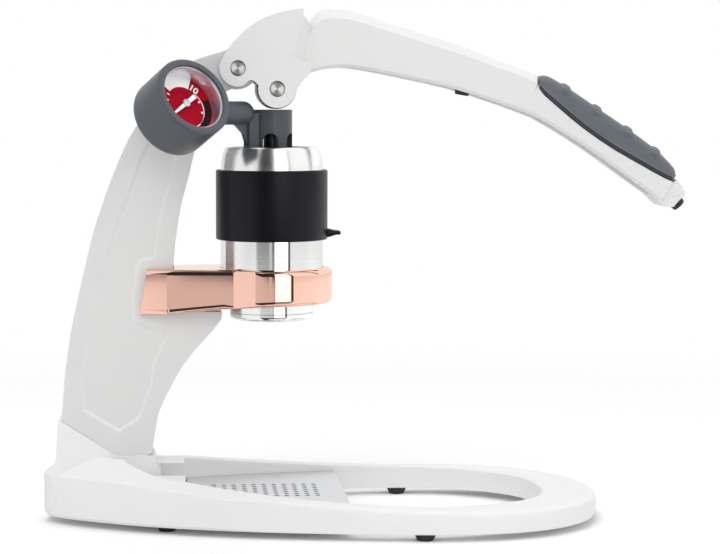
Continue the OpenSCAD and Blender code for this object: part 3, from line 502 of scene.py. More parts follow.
# From this half width outward a rib leans over the side, by up to this share of its height
LEAN_FROM, LEAN_SPAN, LEAN_SHARE = 8 * MM, 5.2 * MM, 0.75
# How far the grip draws in at its ends, over what length, and how deep down its top sinks with it
TUCK, TUCK_LENGTH, TUCK_REACH = 1.6 * MM, 3 * MM, 6 * MM
# Steps along the grip between given points, over half its crown and down its side
GRIP_STEPS, CROWN_STEPS, SIDE_STEPS = 24, 14, 6
# Height of the bevelled band at the lower edge, and the point of a section where it starts
BAND = 2.3 * MM
BAND_START = CROWN_STEPS + SIDE_STEPS + 1


def ease(t):
    """A smooth step from 0 to 1."""
    t = min(max(t, 0.0), 1.0)
    return t * t * (3 - 2 * t)


def rib_share(place, ribs):
    """The share of a rib's height at a place along the grip."""
    best = 0.0
    for rib in ribs:
        d = place - rib + RIB_LENGTH / 2
        best = max(best, ease(d / RIB_RISE) * ease((RIB_LENGTH - d) / RIB_FALL))
    return best


def distances(points):
    """How far along their line the points lie."""
    places = [0.0]
    for p, q in zip(points, points[1:]):
        places.append(places[-1] + (q - p).length)
    return places


def grip_half(deep, roof):
    """Half of a section, as (across, down): over the crown, down the side and back under the roof."""
    half = [(0.0, 0.0)]
    for k in range(1, CROWN_STEPS):
        a = math.radians(90) * (k / CROWN_STEPS) ** 1.15
        half.append((GRIP_HALF * math.sin(a) ** 0.72, CROWN * (1 - math.cos(a) ** 0.8)))
    half.append((GRIP_HALF, CROWN))
    band = max(deep - BAND, CROWN + 0.1 * MM)
    for k in range(1, SIDE_STEPS + 1):
        half.append((GRIP_HALF, CROWN + (band - CROWN) * k / SIDE_STEPS))
    half += [(GRIP_HALF - 0.25 * MM, min(band + 0.3 * MM, deep - 0.3 * MM)),
             (GRIP_HALF - 0.9 * MM, deep - 0.15 * MM), (GRIP_HALF - 1.2 * MM, deep), (GRIP_CORE, deep),
             (GRIP_CORE, roof + 0.2 * MM), (GRIP_CORE - 0.4 * MM, roof), (0.0, roof)]
    return half


def grip_section(top, down, deep, rise, tuck):
    """A whole section of the grip, raised by rise at a rib and drawn in by tuck at the ends."""
    roof = min(CROWN, deep - ROOF_CLEAR) - 0.3 * MM
    ring = []
    for y, z in grip_half(deep, roof):
        outer = 1.0 if z < roof + 0.3 * MM or y > GRIP_CORE + 0.1 * MM else 0.0
        if y <= GRIP_CORE and z >= roof:
            outer = 0.0
        fade = outer * (1 - ease((z - RIB_REACH * 0.6) / (RIB_REACH * 0.4)))
        lift = rise * fade
        lean = min(max((y - LEAN_FROM) / LEAN_SPAN, 0.0), 1.0)
        across = min(y, y - tuck * outer * (y / GRIP_HALF)) + lift * lean * LEAN_SHARE
        under = z - lift * (1 - lean * LEAN_SHARE) + tuck * outer * (1 - ease(z / TUCK_REACH))
        ring.append((across, top + down * min(under, deep)))
    full = [Vector((p.x, y, p.y)) for y, p in ring]
    return full + [Vector((p.x, -y, p.y)) for y, p in ring[-2:0:-1]]


def paint_edge_shade_and_highlight(obj, size):
    """Paints shade as a dark band on the grip's bevelled lower edge, and a highlight as the thin pale line
    above it.
    """
    obj.data.materials.append(GRIP_BAND_PAINTED_SHADE)
    obj.data.materials.append(GRIP_LINE_PAINTED_HIGHLIGHT)
    for face in obj.data.polygons:
        rows = [min(v % size, size - v % size) for v in face.vertices]
        if len(rows) != 4:
            continue
        if BAND_START <= min(rows) and max(rows) <= BAND_START + 3:
            face.material_index = 1
        elif BAND_START - 1 <= min(rows) and max(rows) <= BAND_START:
            face.material_index = 2


def grip():
    """The rubber grip: a crowned saddle over the arm with four raised ribs and a bevelled lower edge."""
    lines = (GRIP_TOP, GRIP_EDGE, GRIP_LOW)
    tops, edges, lows = [curve([on_lever(*p) for p in line], GRIP_STEPS) for line in lines]
    places = distances(tops)
    total = places[-1]
    ribs = []
    for x, z in GRIP_RIBS:
        rib = on_lever(x, z)
        ribs.append(min(zip(tops, places), key=lambda e: (e[0] - rib).length)[1])
    rings = []
    for top, edge, low, place in zip(tops, edges, lows, places):
        down = (low - top).normalized()
        deep = max((edge - top).dot(down), GRIP_LEAST) - GRIP_LIFT
        end = min(place, total - place)
        tuck = TUCK * (1 - math.sqrt(1 - (1 - min(end / TUCK_LENGTH, 1)) ** 2))
        rings.append(grip_section(top, down, deep, rib_share(place, ribs) * RIB_HEIGHT, tuck))
    points, faces = skin(rings)
    obj = make("lever_grip", points, faces, GRIP, "lever", ["grip_pad"], 40)
    paint_edge_shade_and_highlight(obj, len(rings[0]))


BREW_AXIS = middle("brew_cylinder")
# The steel barrel's radius in millimetres, and the sleeve's inside and outside
BARREL_R = 25.0
SLEEVE_INNER, SLEEVE_OUTER = 25.05 * MM, 27.3 * MM
# The pull tab from the side, in millimetres out from the barrel and up, and its sections across the
# machine with how far each is drawn in
TAB_SIDE = [(1.4, -1.6), (3.6, -1.3), (4.8, -0.8), (6.2, -0.4), (8.1, -0.3), (8.5, 0.2), (8.5, 1.1),
            (8.0, 1.5), (6.0, 1.6), (4.6, 1.9), (3.4, 2.3), (1.4, 2.6)]
TAB_SECTIONS = ((-5.0, 0.5), (-4.9, 0.2), (-4.5, 0.0), (0, 0), (4.5, 0.0), (4.9, 0.2), (5.0, 0.5))
# Height of the tab over the sleeve's lower edge, the height about which it is drawn in, and its root
TAB_RISE, TAB_MIDDLE, TAB_ROOT = 2.6, 0.4, 3


def sleeve():
    """The silicone sleeve with its pull tab."""
    low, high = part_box("grip_sleeve")
    place = Matrix.Translation((BREW_AXIS.x, BREW_AXIS.y, 0))
    corners = [(SLEEVE_INNER, low.z), (SLEEVE_OUTER, low.z), (SLEEVE_OUTER, high.z), (SLEEVE_INNER, high.z)]
    profile = rounded(corners, [0.3 * MM, 0.9 * MM, 0.9 * MM, 0.3 * MM], 5)
    points, faces = revolve(profile, place, 160)
    make("sleeve_body", points, faces, SILICONE, "stand", ["grip_sleeve"], 40)
    tab_z = low.z + TAB_RISE * MM
    rings = []
    for across, shrink in TAB_SECTIONS:
        ring = []
        for out, up in TAB_SIDE:
            x = BARREL_R + out - (shrink if out > TAB_ROOT else 0)
            z = tab_z + (up - TAB_MIDDLE) * (1 - shrink * 0.5) * MM + TAB_MIDDLE * MM
            ring.append(Vector((BREW_AXIS.x + x * MM, across * MM, z)))
        rings.append(ring)
    points, faces = skin(rings)
    make("sleeve_tab", points, faces, SILICONE, "stand", [], 40)


# The gauge's own frame: X across the dial, Y up the dial and Z out of it
GAUGE_TURN, GAUGE_TILT = math.radians(54.9), math.radians(27.2)


def gauge_frame():
    """Where the gauge's own frame stands in the machine's."""
    joint = JOINTS["needle_turn"]
    turn = Matrix.Rotation(math.pi / 2 - GAUGE_TURN, 4, "Z")
    tilt = Matrix.Rotation(math.pi / 2 - GAUGE_TILT, 4, "X")
    return Matrix.Translation(Vector(joint["pos_m"])) @ (turn @ tilt)


GAUGE = gauge_frame()
# The gauge's radius, its back and front, its opening and the heights of what it holds, in millimetres
GAUGE_R, GAUGE_BACK, GAUGE_FRONT = 19.6, -8.0, 17.8
OPENING_R = 16.0
CUP_FLOOR, PLATE_LOW, DIAL_TOP = 7.2, 7.3, 8.6
LINING_LOW, LINING_TOP, LINING_WALL = 8.3, 16.6, 0.8
PANE_LOW, PANE_TOP = 12.6, 13.6
HUB_HOLE = 0.9
DIAL_FACE = DIAL_TOP * MM
INK = 0.06 * MM


def gauge_piece(name, profile, material, node, segments=128, smooth=35):
    """One turned piece of the gauge, from a profile of (radius, height) in millimetres."""
    points, faces = revolve([(r * MM, z * MM) for r, z in profile], GAUGE, segments)
    make(name, points, faces, material, "plunger", [node], smooth)


def gauge_body():
    """The gauge's cup, its satin lining, the dial plate and the flat lens."""
    corners = [(0.0, GAUGE_BACK), (GAUGE_R, GAUGE_BACK), (GAUGE_R, GAUGE_FRONT), (OPENING_R, GAUGE_FRONT),
               (OPENING_R, CUP_FLOOR), (0.0, CUP_FLOOR)]
    profile = rounded(corners, [0, 4.0, 1.5, 0.8, 0, 0], 6)
    gauge_piece("gauge_cup", profile, PLASTIC, "gauge_housing")
    wall = OPENING_R - 0.05
    inside = wall - LINING_WALL
    corners = [(wall, LINING_LOW), (wall, LINING_TOP), (wall - 0.35, LINING_TOP), (inside, LINING_TOP - 1.0),
               (inside, LINING_LOW)]
    profile = rounded(corners, [0, 0.15, 0.15, 0.5, 0], 4)
    gauge_piece("gauge_lining", profile, LINING, "gauge_ring")
    plate = [(HUB_HOLE, PLATE_LOW), (wall - 0.1, PLATE_LOW), (wall - 0.1, DIAL_TOP), (HUB_HOLE, DIAL_TOP)]
    gauge_piece("dial_plate", plate, DIAL, "gauge_dial", smooth=30)
    rim = inside - 0.05
    corners = [(0.0, PANE_LOW), (rim, PANE_LOW), (rim, PANE_TOP), (0.0, PANE_TOP)]
    profile = rounded(corners, [0, 0.1, 0.1, 0], 3)
    gauge_piece("gauge_pane", profile, LENS, "gauge_lens", segments=96, smooth=30)


def polar(angle, radius):
    """A point of the dial, in metres, from degrees and millimetres."""
    a = math.radians(angle)
    return Vector((radius * MM * math.cos(a), radius * MM * math.sin(a)))


def sector(start, end, inner, outer, steps=24):
    """Outline between two angles and two radii; each radius may be a (start, end) pair."""
    def at(r, t):
        """A radius part of the way round."""
        return r[0] + (r[1] - r[0]) * t if isinstance(r, tuple) else r
    turn = [k / steps for k in range(steps + 1)]
    return ([polar(start + (end - start) * t, at(outer, t)) for t in turn]
            + [polar(start + (end - start) * t, at(inner, t)) for t in reversed(turn)])


SPOT_STEPS = 20


def spot(angle, radius, size):
    """Outline of a round dot on the dial."""
    c = polar(angle, radius)
    return [c + polar(360 * k / SPOT_STEPS, size) for k in range(SPOT_STEPS)]


def printed(name, outlines, mat):
    """Thin printed marks on the dial, one closed piece for all the outlines."""
    points, faces = [], []
    for outline in outlines:
        n, base = len(outline), len(points)
        for height in (DIAL_FACE - INK * 0.5, DIAL_FACE + INK):
            points += [GAUGE @ Vector((p.x, p.y, height)) for p in outline]
        for tri in geometry.tessellate_polygon([[Vector((p.x, p.y, 0)) for p in outline]]):
            faces.append([base + i for i in tri])
            faces.append([base + n + i for i in reversed(tri)])
        for i in range(n):
            j = (i + 1) % n
            faces.append([base + i, base + j, base + n + j, base + n + i])
    make(name, points, faces, mat, "plunger", [], 30)


# How much the numerals' strokes are thickened, in metres
NUMERAL_WEIGHT = 0.00013


def numeral(text, angle, radius, size):
    """A plain number on the dial, its top pointing outward."""
    data = bpy.data.curves.new("numeral_" + text, "FONT")
    data.body = text
    data.size = size * MM
    data.align_x = "CENTER"
    data.align_y = "CENTER"
    data.extrude = INK * 0.5
    data.offset = NUMERAL_WEIGHT
    text_obj = bpy.data.objects.new("numeral_source", data)
    bpy.context.scene.collection.objects.link(text_obj)
    bpy.context.view_layer.update()
    mesh = bpy.data.meshes.new_from_object(text_obj.evaluated_get(bpy.context.evaluated_depsgraph_get()))
    bpy.data.objects.remove(text_obj)
    bm = bmesh.new()
    bm.from_mesh(mesh)
    bmesh.ops.remove_doubles(bm, verts=bm.verts, dist=TINY)
    bm.to_mesh(mesh)
    bm.free()
    at = polar(angle, radius)
    mesh.transform(GAUGE @ Matrix.Translation((at.x, at.y, DIAL_FACE + INK * 0.5))
                   @ Matrix.Rotation(math.radians(angle - 90), 4, "Z"))
    obj = bpy.data.objects.new("numeral_" + text, mesh)
    bpy.context.scene.collection.objects.link(obj)
    finish_piece(obj, MARKS, "plunger", [], 30)


def dial():
    """The print on the dial: a label, a band, the scale and its numbers."""
    printed("dial_label", [sector(60, 131, 9.3, 15.2)], MARKS)
    printed("dial_band", [sector(10, -60, 11.0, 14.5)], DARK_MARKS)
    ticks = [sector(a - 1.6, a + 1.6, 8.5, 10.1, 3) for a in range(243, 140, -20)]
    printed("dial_scale", [sector(33, -73, (9.1, 11.6), (9.45, 11.95), 40)] + ticks, MARKS)
    printed("dial_dots", [spot(8.6, 8.7, 0.55), spot(-26, 9.6, 0.55)], MARKS)
    numeral("10", 46, 11.0, 4.9)
    numeral("5", 146, 12.2, 3.4)
    numeral("0", 243, 12.2, 3.4)


# Where the pointer stands on the dial, in degrees, its height over the dial's face and its thickness
NEEDLE_ANGLE = 211
BLADE_RISE, BLADE_THICK = 1.3 * MM, 0.5 * MM
# Profile of the hub, as (radius, height over the dial's face) in millimetres
HUB_PROFILE = [(0.0, 0.1), (0.8, 0.1), (0.8, 1.1), (2.0, 1.1), (2.0, 1.8), (1.75, 2.2), (1.2, 2.3),
               (0.9, 2.0), (0.0, 2.0)]


def needle():
    """The pointer: a flat tail, a tapering blade and a turned hub."""
    turn = GAUGE @ Matrix.Rotation(math.radians(NEEDLE_ANGLE), 4, "Z")
    level = DIAL_FACE + BLADE_RISE
    outline = [(-7.0, -1.15), (-7.0, 1.15), (-1.0, 0.95), (4.0, 0.8), (11.0, 0.3), (11.2, 0.0), (11.0, -0.3),
               (4.0, -0.8), (-1.0, -0.95)]
    points = []
    for z in (level, level + BLADE_THICK):
        points += [turn @ Vector((x * MM, y * MM, z)) for x, y in outline]
    n = len(outline)
    faces = [list(range(n - 1, -1, -1)), list(range(n, 2 * n))]
    faces += [[i, (i + 1) % n, n + (i + 1) % n, n + i] for i in range(n)]
    make("pointer_blade", points, faces, MARKS, "needle", ["gauge_needle"], 30)
    profile = [(r * MM, DIAL_FACE + z * MM) for r, z in HUB_PROFILE]
    points, faces = revolve(profile, GAUGE, 64)
    make("pointer_hub", points, faces, FASTENER, "needle", [], 40)


# How deep the post's side panels are sunk, and how far their walls lean
PANEL_DEPTH, PANEL_SLOPE = 1.0 * MM, 1.3 * MM
# What counts as lying at the panel's depth, and the sharpest corner, in radians, that is followed
PANEL_SLACK, SHARPEST = 0.05 * MM, 0.5


def slope_panels(bm):
    """Draws the floor of each sunk panel in from its walls, which then lean."""
    low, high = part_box("post")
    for side in (low.y + PANEL_DEPTH, high.y - PANEL_DEPTH):
        level = [f for f in bm.faces if abs(f.calc_center_median().y - side) < PANEL_SLACK]
        floors = [f for f in level if abs(f.normal.y) > 0.99]
        for face in floors:
            moves = []
            for loop in face.loops:
                here = loop.vert.co
                u = (loop.link_loop_prev.vert.co - here).normalized()
                v = (loop.link_loop_next.vert.co - here).normalized()
                inward = face.normal.cross(v - u).normalized()
                spread = math.sin(max(u.angle(v) / 2, SHARPEST))
                moves.append((loop.vert, inward * (PANEL_SLOPE / spread)))
            for vert, move in moves:
                vert.co += move


# Faces of the rims and of the panels' walls lie this near the post's sides and lean within these bounds
RIM_DEPTH = 1.4 * MM
RIM_LEAST, RIM_MOST = 0.2, 0.95


def paint_rim_highlights(obj):
    """Paints a highlight on the post's rims and its panels' sloping walls, a little paler, as the photograph
    shows them.
    """
    obj.data.materials.append(WHITE)
    low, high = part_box("post")
    for face in obj.data.polygons:
        deep = min(face.center.y - low.y, high.y - face.center.y)
        if deep < RIM_DEPTH and RIM_LEAST < abs(face.normal.y) < RIM_MOST:
            face.material_index = 1


# The bracket along X from the brew head's axis: its arms, the points that move with them, and its slot
BRACKET_RIM = 2.8 * MM
ARM_INNER = 12.0 * MM
ARM_START, ARM_END = -51.5 * MM, -19.5 * MM
ARM_LIMIT, ARM_SNAP = -19 * MM, -21 * MM
SLOT_END, SLOT_SHIFT = -44.3 * MM, 3.6 * MM
# Half width of an arm at the post, in millimetres, what it gains up to the ring, and the gain's bend
ARM_WIDTH, ARM_GAIN, ARM_BEND = 17.6, 2.9, 1.2
# What counts as the same place
NEAR = 0.2 * MM
# Two points a hair apart at the front facet's foot, which would break the rounding
FACET_FOOT, FOOT_REACH, FOOT_GAP = (-9.3 * MM, 28.0 * MM), 0.4 * MM, 0.6 * MM


def fuller_arms(bm):
    """Swells the bracket's arms towards the ring and closes its slot up to the post."""
    axis = BREW_AXIS.x
    for vert in bm.verts:
        x, y = vert.co.x - axis, abs(vert.co.y)
        if y > ARM_INNER + 2 * MM and ARM_START + NEAR < x < ARM_LIMIT:
            x = ARM_END if x > ARM_SNAP else x
            vert.co.x = axis + x
            along = (x - ARM_START) / (ARM_END - ARM_START)
            vert.co.y = math.copysign((ARM_WIDTH + ARM_GAIN * along ** ARM_BEND) * MM, vert.co.y)
        elif y < ARM_INNER + 0.1 * MM and abs(x - SLOT_END) < NEAR:
            vert.co.x -= SLOT_SHIFT
    foot_x, foot_y = FACET_FOOT
    near = []
    for vert in bm.verts:
        if math.hypot(vert.co.x - axis - foot_x, abs(vert.co.y) - foot_y) < FOOT_REACH:
            near.append(vert)
    bmesh.ops.remove_doubles(bm, verts=near, dist=FOOT_GAP)


# The bracket's outer edges lie outside this radius on the ring, and this far out on the arms, up to
# the end at the post; where arm and ring join, the rounding has this share of its width
RING_START, RING_EDGE = -16 * MM, 27.5 * MM
ARM_EDGE, BRACKET_END = ARM_INNER + 2.5 * MM, -63 * MM
JOIN_START, JOIN_END, JOIN_SHARE = -19 * MM, -10 * MM, 0.6


def outer_rim(edge):
    """Share of the rounding's width for an edge: all or most of it on the bracket's outer edges alone."""
    mid = (edge.verts[0].co + edge.verts[1].co) / 2
    along = (edge.verts[0].co - edge.verts[1].co).normalized()
    x = mid.x - BREW_AXIS.x
    outside = math.hypot(x, mid.y) > RING_EDGE if x > RING_START else abs(mid.y) > ARM_EDGE
    if not outside or abs(along.z) > 0.5 or x < BRACKET_END:
        return 0.0
    return JOIN_SHARE if JOIN_START < x < JOIN_END else 1.0


# In millimetres from the fulcrum: where the lever's blunt end begins, how far it is drawn back, over
# what length that grows, and which way it goes
TIP_FROM, TIP_BELOW, TIP_DRAW, TIP_GROWTH = 213.0, -50, 1.5, 4.0
TIP_WAY = (-0.75, 0.66)
# The front corner of the grip's seat
SEAT_CORNER, CORNER_REACH = (146.07, -8.74), 0.2
# The end of the boss that holds the stop under the arm: its middle and radius, its slope in the CAD
# with the slack for finding it, and its new slope, which is the arm's, and rise
BOSS_END, BOSS_REACH = (109.7, -9.9), 4.9
CAD_SLOPE, SLOPE_SLACK = 0.23, 0.3
BOSS_SLOPE, BOSS_RISE = 0.325, 0.6
ARM_HALF = 12.0 * MM


def tidy_lever(bm):
    """Draws the lever's end back from its stop, evens the grip seat's corner and levels the stop's boss."""
    for vert in bm.verts:
        x, z = (vert.co.x - FULCRUM.x) / MM, (vert.co.z - FULCRUM.z) / MM
        if math.hypot(x - SEAT_CORNER[0], z - SEAT_CORNER[1]) < CORNER_REACH:
            vert.co.y = math.copysign(ARM_HALF, vert.co.y)
        across = x - BOSS_END[0]
        on_face = abs(z - BOSS_END[1] - CAD_SLOPE * across) < SLOPE_SLACK
        if on_face and math.hypot(across, vert.co.y / MM) < BOSS_REACH:
            vert.co.z = FULCRUM.z + (BOSS_END[1] + BOSS_RISE - BOSS_SLOPE * across) * MM
        if x > TIP_FROM and z < TIP_BELOW:
            draw = TIP_DRAW * ease((x - TIP_FROM) / TIP_GROWTH) * MM
            vert.co.x += draw * TIP_WAY[0]
            vert.co.z += draw * TIP_WAY[1]


# The rubber stops: place in millimetres from the fulcrum, turn in degrees, radius, height and depth
END_STOP = ((216.9, -64.9), 135, 3.7, 3.2, 4.0)
UNDER_STOP = ((110.75, -9.6), 190, 3.9, 3.1, 1.0)


def stop(name, node, at, turn, radius, height, deep):
    """A rubber stop: a slightly tapered button whose stem sits in the lever."""
    place = on_lever(*at)
    turned = Matrix.Translation((place.x, 0, place.y)) @ Matrix.Rotation(math.radians(turn), 4, "Y")
    corners = [(0.0, -deep), (1.2, -deep), (1.2, 0.0), (radius, 0.0), (radius - 0.5, height), (0.0, height)]
    profile = rounded(corners, [0, 0.3, 0, 0.2, 0.5, 0], 4)
    points, faces = revolve([(r * MM, h * MM) for r, h in profile], turned, 64)
    make(name, points, faces, RUBBER, "lever", [node], 35)


# The pins: radius of the shaft, how far in from the pin's end its head sits, and the head's profile
PIN_SHAFT = 3.0
HEAD_SEAT = 2.0 * MM
HEAD_PROFILE = [(0.0, 1.6), (0.3, 1.6), (0.4, 1.9), (2.9, 1.9), (3.1, 1.7), (3.15, 0.2), (3.45, 0.2),
                (3.5, 1.2), (3.8, 1.0), (3.8, 0.0)]


def pivot(name, at, pin_node, cap_node, body):
    """A turned pin through the fork, with a grooved head on one side and its cap on the other."""
    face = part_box(pin_node)[0].y + HEAD_SEAT
    turn = Matrix.Translation((at.x, 0, at.z)) @ Matrix.Rotation(math.radians(90), 4, "X")
    seat = -face
    profile = [(r * MM, seat + h * MM) for r, h in HEAD_PROFILE]
    shaft = [(PIN_SHAFT * MM, seat), (PIN_SHAFT * MM, -seat), (0.0, -seat)]
    points, faces = revolve(profile + shaft, turn, 96)
    make(name + "_pin_turned", points, faces, PIN_STEEL[name], body, [pin_node], 8)
    other = Matrix.Translation((at.x, 0, at.z)) @ Matrix.Rotation(math.radians(-90), 4, "X")
    points, faces = revolve(profile + [(0.0, seat)], other, 96)
    make(name + "_cap_turned", points, faces, PIN_STEEL[name], body, [cap_node], 8)


# Width of the castings' softened edges
CAST_EDGE, LEVER_EDGE = 1.4 * MM, 1.0 * MM

softened("base_frame", BASE_WHITE_PAINTED_LIGHT, CAST_EDGE, "base_casting")
paint_rim_highlights(softened("post", POST_WHITE_PAINTED_SHADE, CAST_EDGE, "post_casting", reshape=slope_panels))
softened("lever_arm", WHITE, LEVER_EDGE, "lever_casting", reshape=tidy_lever)
stop("end_stop", "end_bumper", *END_STOP)
stop("under_stop", "under_bumper", *UNDER_STOP)
softened("holder_bracket", COPPER, BRACKET_RIM, "ring_bracket", smooth=13.0, segments=10,
         reshape=fuller_arms, weight=outer_rim)
pivot("fulcrum", FULCRUM, "fulcrum_pin", "fulcrum_screw", "fulcrum")
pivot("roller", ROLLER, "roller_pin", "roller_screw", "lever")
grip()
sleeve()
gauge_body()
dial()
needle()


# Camera and lighting

# Strength of the plain surround that lights the machine
AMBIENT = 0.5
# The camera: its lens and sensor in millimetres, its place, and how far it looks down and to the right
SENSOR, FOCAL_LENGTH, SHIFT = 36.0, 103.25, 0.10
CAMERA_PLACE = (-0.10052, -1.00784, 0.2027)
LOOK_DOWN, LOOK_RIGHT = 4.734, 3.547
FARTHEST = 20.0


def camera():
    """The camera at the photograph's viewing angle."""
    data = bpy.data.cameras.new("camera")
    data.sensor_width = SENSOR
    data.lens = FOCAL_LENGTH
    data.shift_x = SHIFT
    data.clip_end = FARTHEST
    obj = bpy.data.objects.new("camera", data)
    bpy.context.scene.collection.objects.link(obj)
    obj.location = CAMERA_PLACE
    obj.rotation_euler = (math.radians(90 - LOOK_DOWN), 0.0, math.radians(-LOOK_RIGHT))
    bpy.context.scene.camera = obj


# The lamps: name, place, what they point at, width and power in watts
LAMPS = [
    ("key", (-0.5, -0.9, 1.3), (0, 0, 0.1), 1.1, 9.0),
    ("fill", (1.1, -0.7, 0.8), (0, 0, 0.12), 0.9, 4.0),
    ("top", (0.0, 0.3, 1.5), (0, 0, 0.0), 1.2, 8.0),
]


def lamp(name, place, target, size, power):
    """A square soft lamp that polished metal doesn't mirror."""
    data = bpy.data.lights.new(name, "AREA")
    data.shape = "RECTANGLE"
    data.size, data.size_y = size, size
    data.energy = power
    obj = bpy.data.objects.new(name, data)
    bpy.context.scene.collection.objects.link(obj)
    obj.location = place
    obj.visible_glossy = False
    aim = Vector(target) - Vector(place)
    obj.rotation_euler = aim.to_track_quat("-Z", "Y").to_euler()


# What polished metal sees round the machine: (degrees from the camera's side to the right, brightness),
# in layers from the table upward, each from its own elevation in degrees
FAR_LEFT = [(-180, 0.80), (-131, 0.85), (-130, 0.42), (-127, 0.42), (-126, 0.80), (-112, 0.80), (-111, 0.35),
            (-108, 0.35), (-106, 0.90)]
FAR_RIGHT = [(39, 0.79), (80, 0.80), (90, 0.87), (180, 0.82)]
LOW_RIGHT = [(39, 1.02), (80, 1.06), (110, 1.15), (180, 0.9)]
WINDOW = [(4, 1.9), (33, 1.9), (34, 0.04), (38, 0.04)]
LOW_SIDE = FAR_LEFT + [(-50, 0.97), (-35, 0.97)]
LAYERS = [
    (-90.0, LOW_SIDE + [(-33, 0.05), (3, 0.05), (4, 0.3), (36, 0.3)] + LOW_RIGHT),
    (-11.0, LOW_SIDE + [(-33, 0.05), (3, 0.05), (4, 0.05), (36, 0.05)] + LOW_RIGHT),
    (-8.0, LOW_SIDE + [(-33, 0.72), (3, 0.62), (4, 0.05), (38, 0.05)] + LOW_RIGHT),
    (-6.4, LOW_SIDE + [(-33, 0.72), (2, 0.66), (3, 0.05)] + WINDOW + LOW_RIGHT),
    (-4.6, FAR_LEFT + [(-82, 0.88), (-60, 0.73), (-39, 0.76), (-37, 0.24), (-9, 0.22), (-7, 0.6), (-3, 0.6),
                       (-2, 0.03), (3, 0.03)] + WINDOW + FAR_RIGHT),
    (2.0, LOW_SIDE + [(-33, 0.03), (3, 0.03)] + WINDOW + LOW_RIGHT),
    (55.0, LOW_SIDE + [(-33, 0.03), (38, 0.03)] + LOW_RIGHT),
    (84.0, [(-180, 0.9), (180, 0.9)]),
]


def panels_colour(nodes, links):
    """Brightness of the surround in the direction of a reflected ray."""
    place = nodes.new("ShaderNodeTexCoord")
    parts = nodes.new("ShaderNodeSeparateXYZ")
    links.new(place.outputs["Generated"], parts.inputs["Vector"])
    toward = math_node(nodes, links, "MULTIPLY", parts.outputs["Y"], -1.0)
    angle = math_node(nodes, links, "ARCTAN2", parts.outputs["X"], toward)
    turn = math_node(nodes, links, "MULTIPLY_ADD", angle, 0.5 / math.pi, 0.5)
    colour = None
    for elevation, levels in LAYERS:
        ramp = nodes.new("ShaderNodeValToRGB")
        marks = ramp.color_ramp.elements
        for k, (degrees, level) in enumerate(levels):
            mark = marks[k] if k < 2 else marks.new(1.0)
            mark.position = (degrees + 180) / 360
            mark.color = (level, level, level, 1)
        links.new(turn, ramp.inputs["Fac"])
        if colour is None:
            colour = ramp.outputs["Color"]
            continue
        start = math.sin(math.radians(elevation))
        above = math_node(nodes, links, "GREATER_THAN", parts.outputs["Z"], start)
        mix = nodes.new("ShaderNodeMix")
        mix.data_type = "RGBA"
        links.new(above, mix.inputs["Factor"])
        links.new(colour, mix.inputs["A"])
        links.new(ramp.outputs["Color"], mix.inputs["B"])
        colour = mix.outputs["Result"]
    return colour


def background(nodes, strength):
    """A white Background node."""
    node = nodes.new("ShaderNodeBackground")
    node.inputs["Color"].default_value = (1, 1, 1, 1)
    node.inputs["Strength"].default_value = strength
    return node


def studio():
    """A white surround, in which polished metal also sees a few darker upright panels."""
    world = bpy.data.worlds.new("studio")
    bpy.context.scene.world = world
    world.use_nodes = True
    nodes, links = world.node_tree.nodes, world.node_tree.links
    nodes.clear()
    out = nodes.new("ShaderNodeOutputWorld")
    plain, seen, panels = background(nodes, AMBIENT), background(nodes, 1.0), background(nodes, 1.0)
    links.new(panels_colour(nodes, links), panels.inputs["Color"])
    path = nodes.new("ShaderNodeLightPath")
    rays = path.outputs["Is Camera Ray"], path.outputs["Is Transmission Ray"]
    clear = math_node(nodes, links, "MAXIMUM", *rays)
    first = nodes.new("ShaderNodeMixShader")
    links.new(path.outputs["Is Glossy Ray"], first.inputs["Fac"])
    links.new(plain.outputs["Background"], first.inputs[1])
    links.new(panels.outputs["Background"], first.inputs[2])
    mix = nodes.new("ShaderNodeMixShader")
    links.new(clear, mix.inputs["Fac"])
    links.new(first.outputs["Shader"], mix.inputs[1])
    links.new(seen.outputs["Background"], mix.inputs[2])
    links.new(mix.outputs["Shader"], out.inputs["Surface"])


# The floor: its width, its grey, how much the camera sees it lifted towards white, between which
# distances from the middle it fades into white, and from where on metal sees the surround instead
FLOOR_SIZE, FLOOR_GREY, FLOOR_LIFT = 6.0, 0.93, 0.07
FLOOR_NEAR, FLOOR_FAR = 0.34, 0.75
FLOOR_MIRROR = 0.12


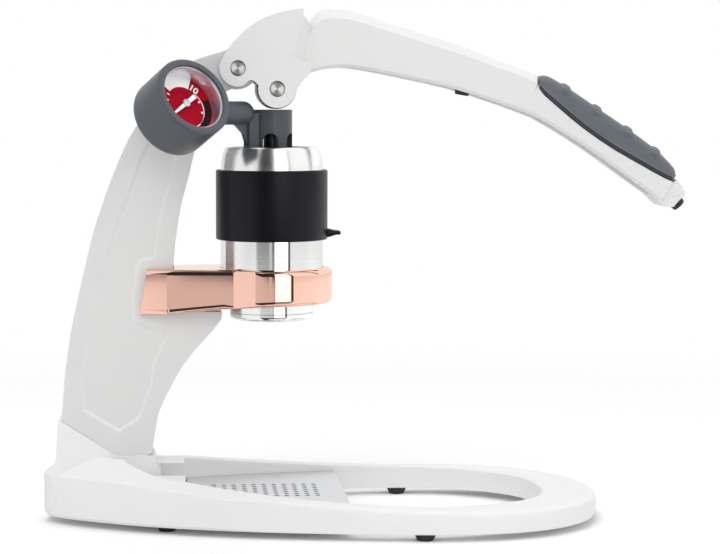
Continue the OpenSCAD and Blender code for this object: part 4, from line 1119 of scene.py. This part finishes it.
def floor():
    """A pale floor that keeps the soft shadow and runs out into white, also in what metal reflects."""
    bpy.ops.mesh.primitive_plane_add(size=FLOOR_SIZE, location=(0, 0, 0))
    obj = bpy.context.object
    obj.name = "floor"
    mat = bpy.data.materials.new("floor")
    mat.use_nodes = True
    nodes, links = mat.node_tree.nodes, mat.node_tree.links
    nodes.clear()
    out = nodes.new("ShaderNodeOutputMaterial")
    paint = nodes.new("ShaderNodeBsdfDiffuse")
    paint.inputs["Color"].default_value = (FLOOR_GREY, FLOOR_GREY, FLOOR_GREY, 1)
    path = nodes.new("ShaderNodeLightPath")
    place = nodes.new("ShaderNodeTexCoord")
    reach = nodes.new("ShaderNodeVectorMath")
    reach.operation = "LENGTH"
    links.new(place.outputs["Object"], reach.inputs[0])
    distance = reach.outputs["Value"]
    lift = nodes.new("ShaderNodeEmission")
    lifted = math_node(nodes, links, "MULTIPLY", path.outputs["Is Camera Ray"], FLOOR_LIFT)
    links.new(lifted, lift.inputs["Strength"])
    near = nodes.new("ShaderNodeAddShader")
    links.new(paint.outputs["BSDF"], near.inputs[0])
    links.new(lift.outputs["Emission"], near.inputs[1])
    white = nodes.new("ShaderNodeEmission")
    fade = nodes.new("ShaderNodeMapRange")
    fade.interpolation_type = "SMOOTHSTEP"
    fade.inputs["From Min"].default_value = FLOOR_NEAR
    fade.inputs["From Max"].default_value = FLOOR_FAR
    links.new(distance, fade.inputs["Value"])
    far = math_node(nodes, links, "MULTIPLY", fade.outputs["Result"], path.outputs["Is Camera Ray"])
    shown = nodes.new("ShaderNodeMixShader")
    links.new(far, shown.inputs["Fac"])
    links.new(near.outputs["Shader"], shown.inputs[1])
    links.new(white.outputs["Emission"], shown.inputs[2])
    clear = nodes.new("ShaderNodeBsdfTransparent")
    beyond = math_node(nodes, links, "GREATER_THAN", distance, FLOOR_MIRROR)
    hidden = math_node(nodes, links, "MULTIPLY", beyond, path.outputs["Is Glossy Ray"])
    mix = nodes.new("ShaderNodeMixShader")
    links.new(hidden, mix.inputs["Fac"])
    links.new(shown.outputs["Shader"], mix.inputs[1])
    links.new(clear.outputs["BSDF"], mix.inputs[2])
    links.new(mix.outputs["Shader"], out.inputs["Surface"])
    obj.data.materials.append(mat)


camera()
studio()
floor()
for values in LAMPS:
    lamp(*values)
bpy.context.scene.view_settings.view_transform = "Standard"
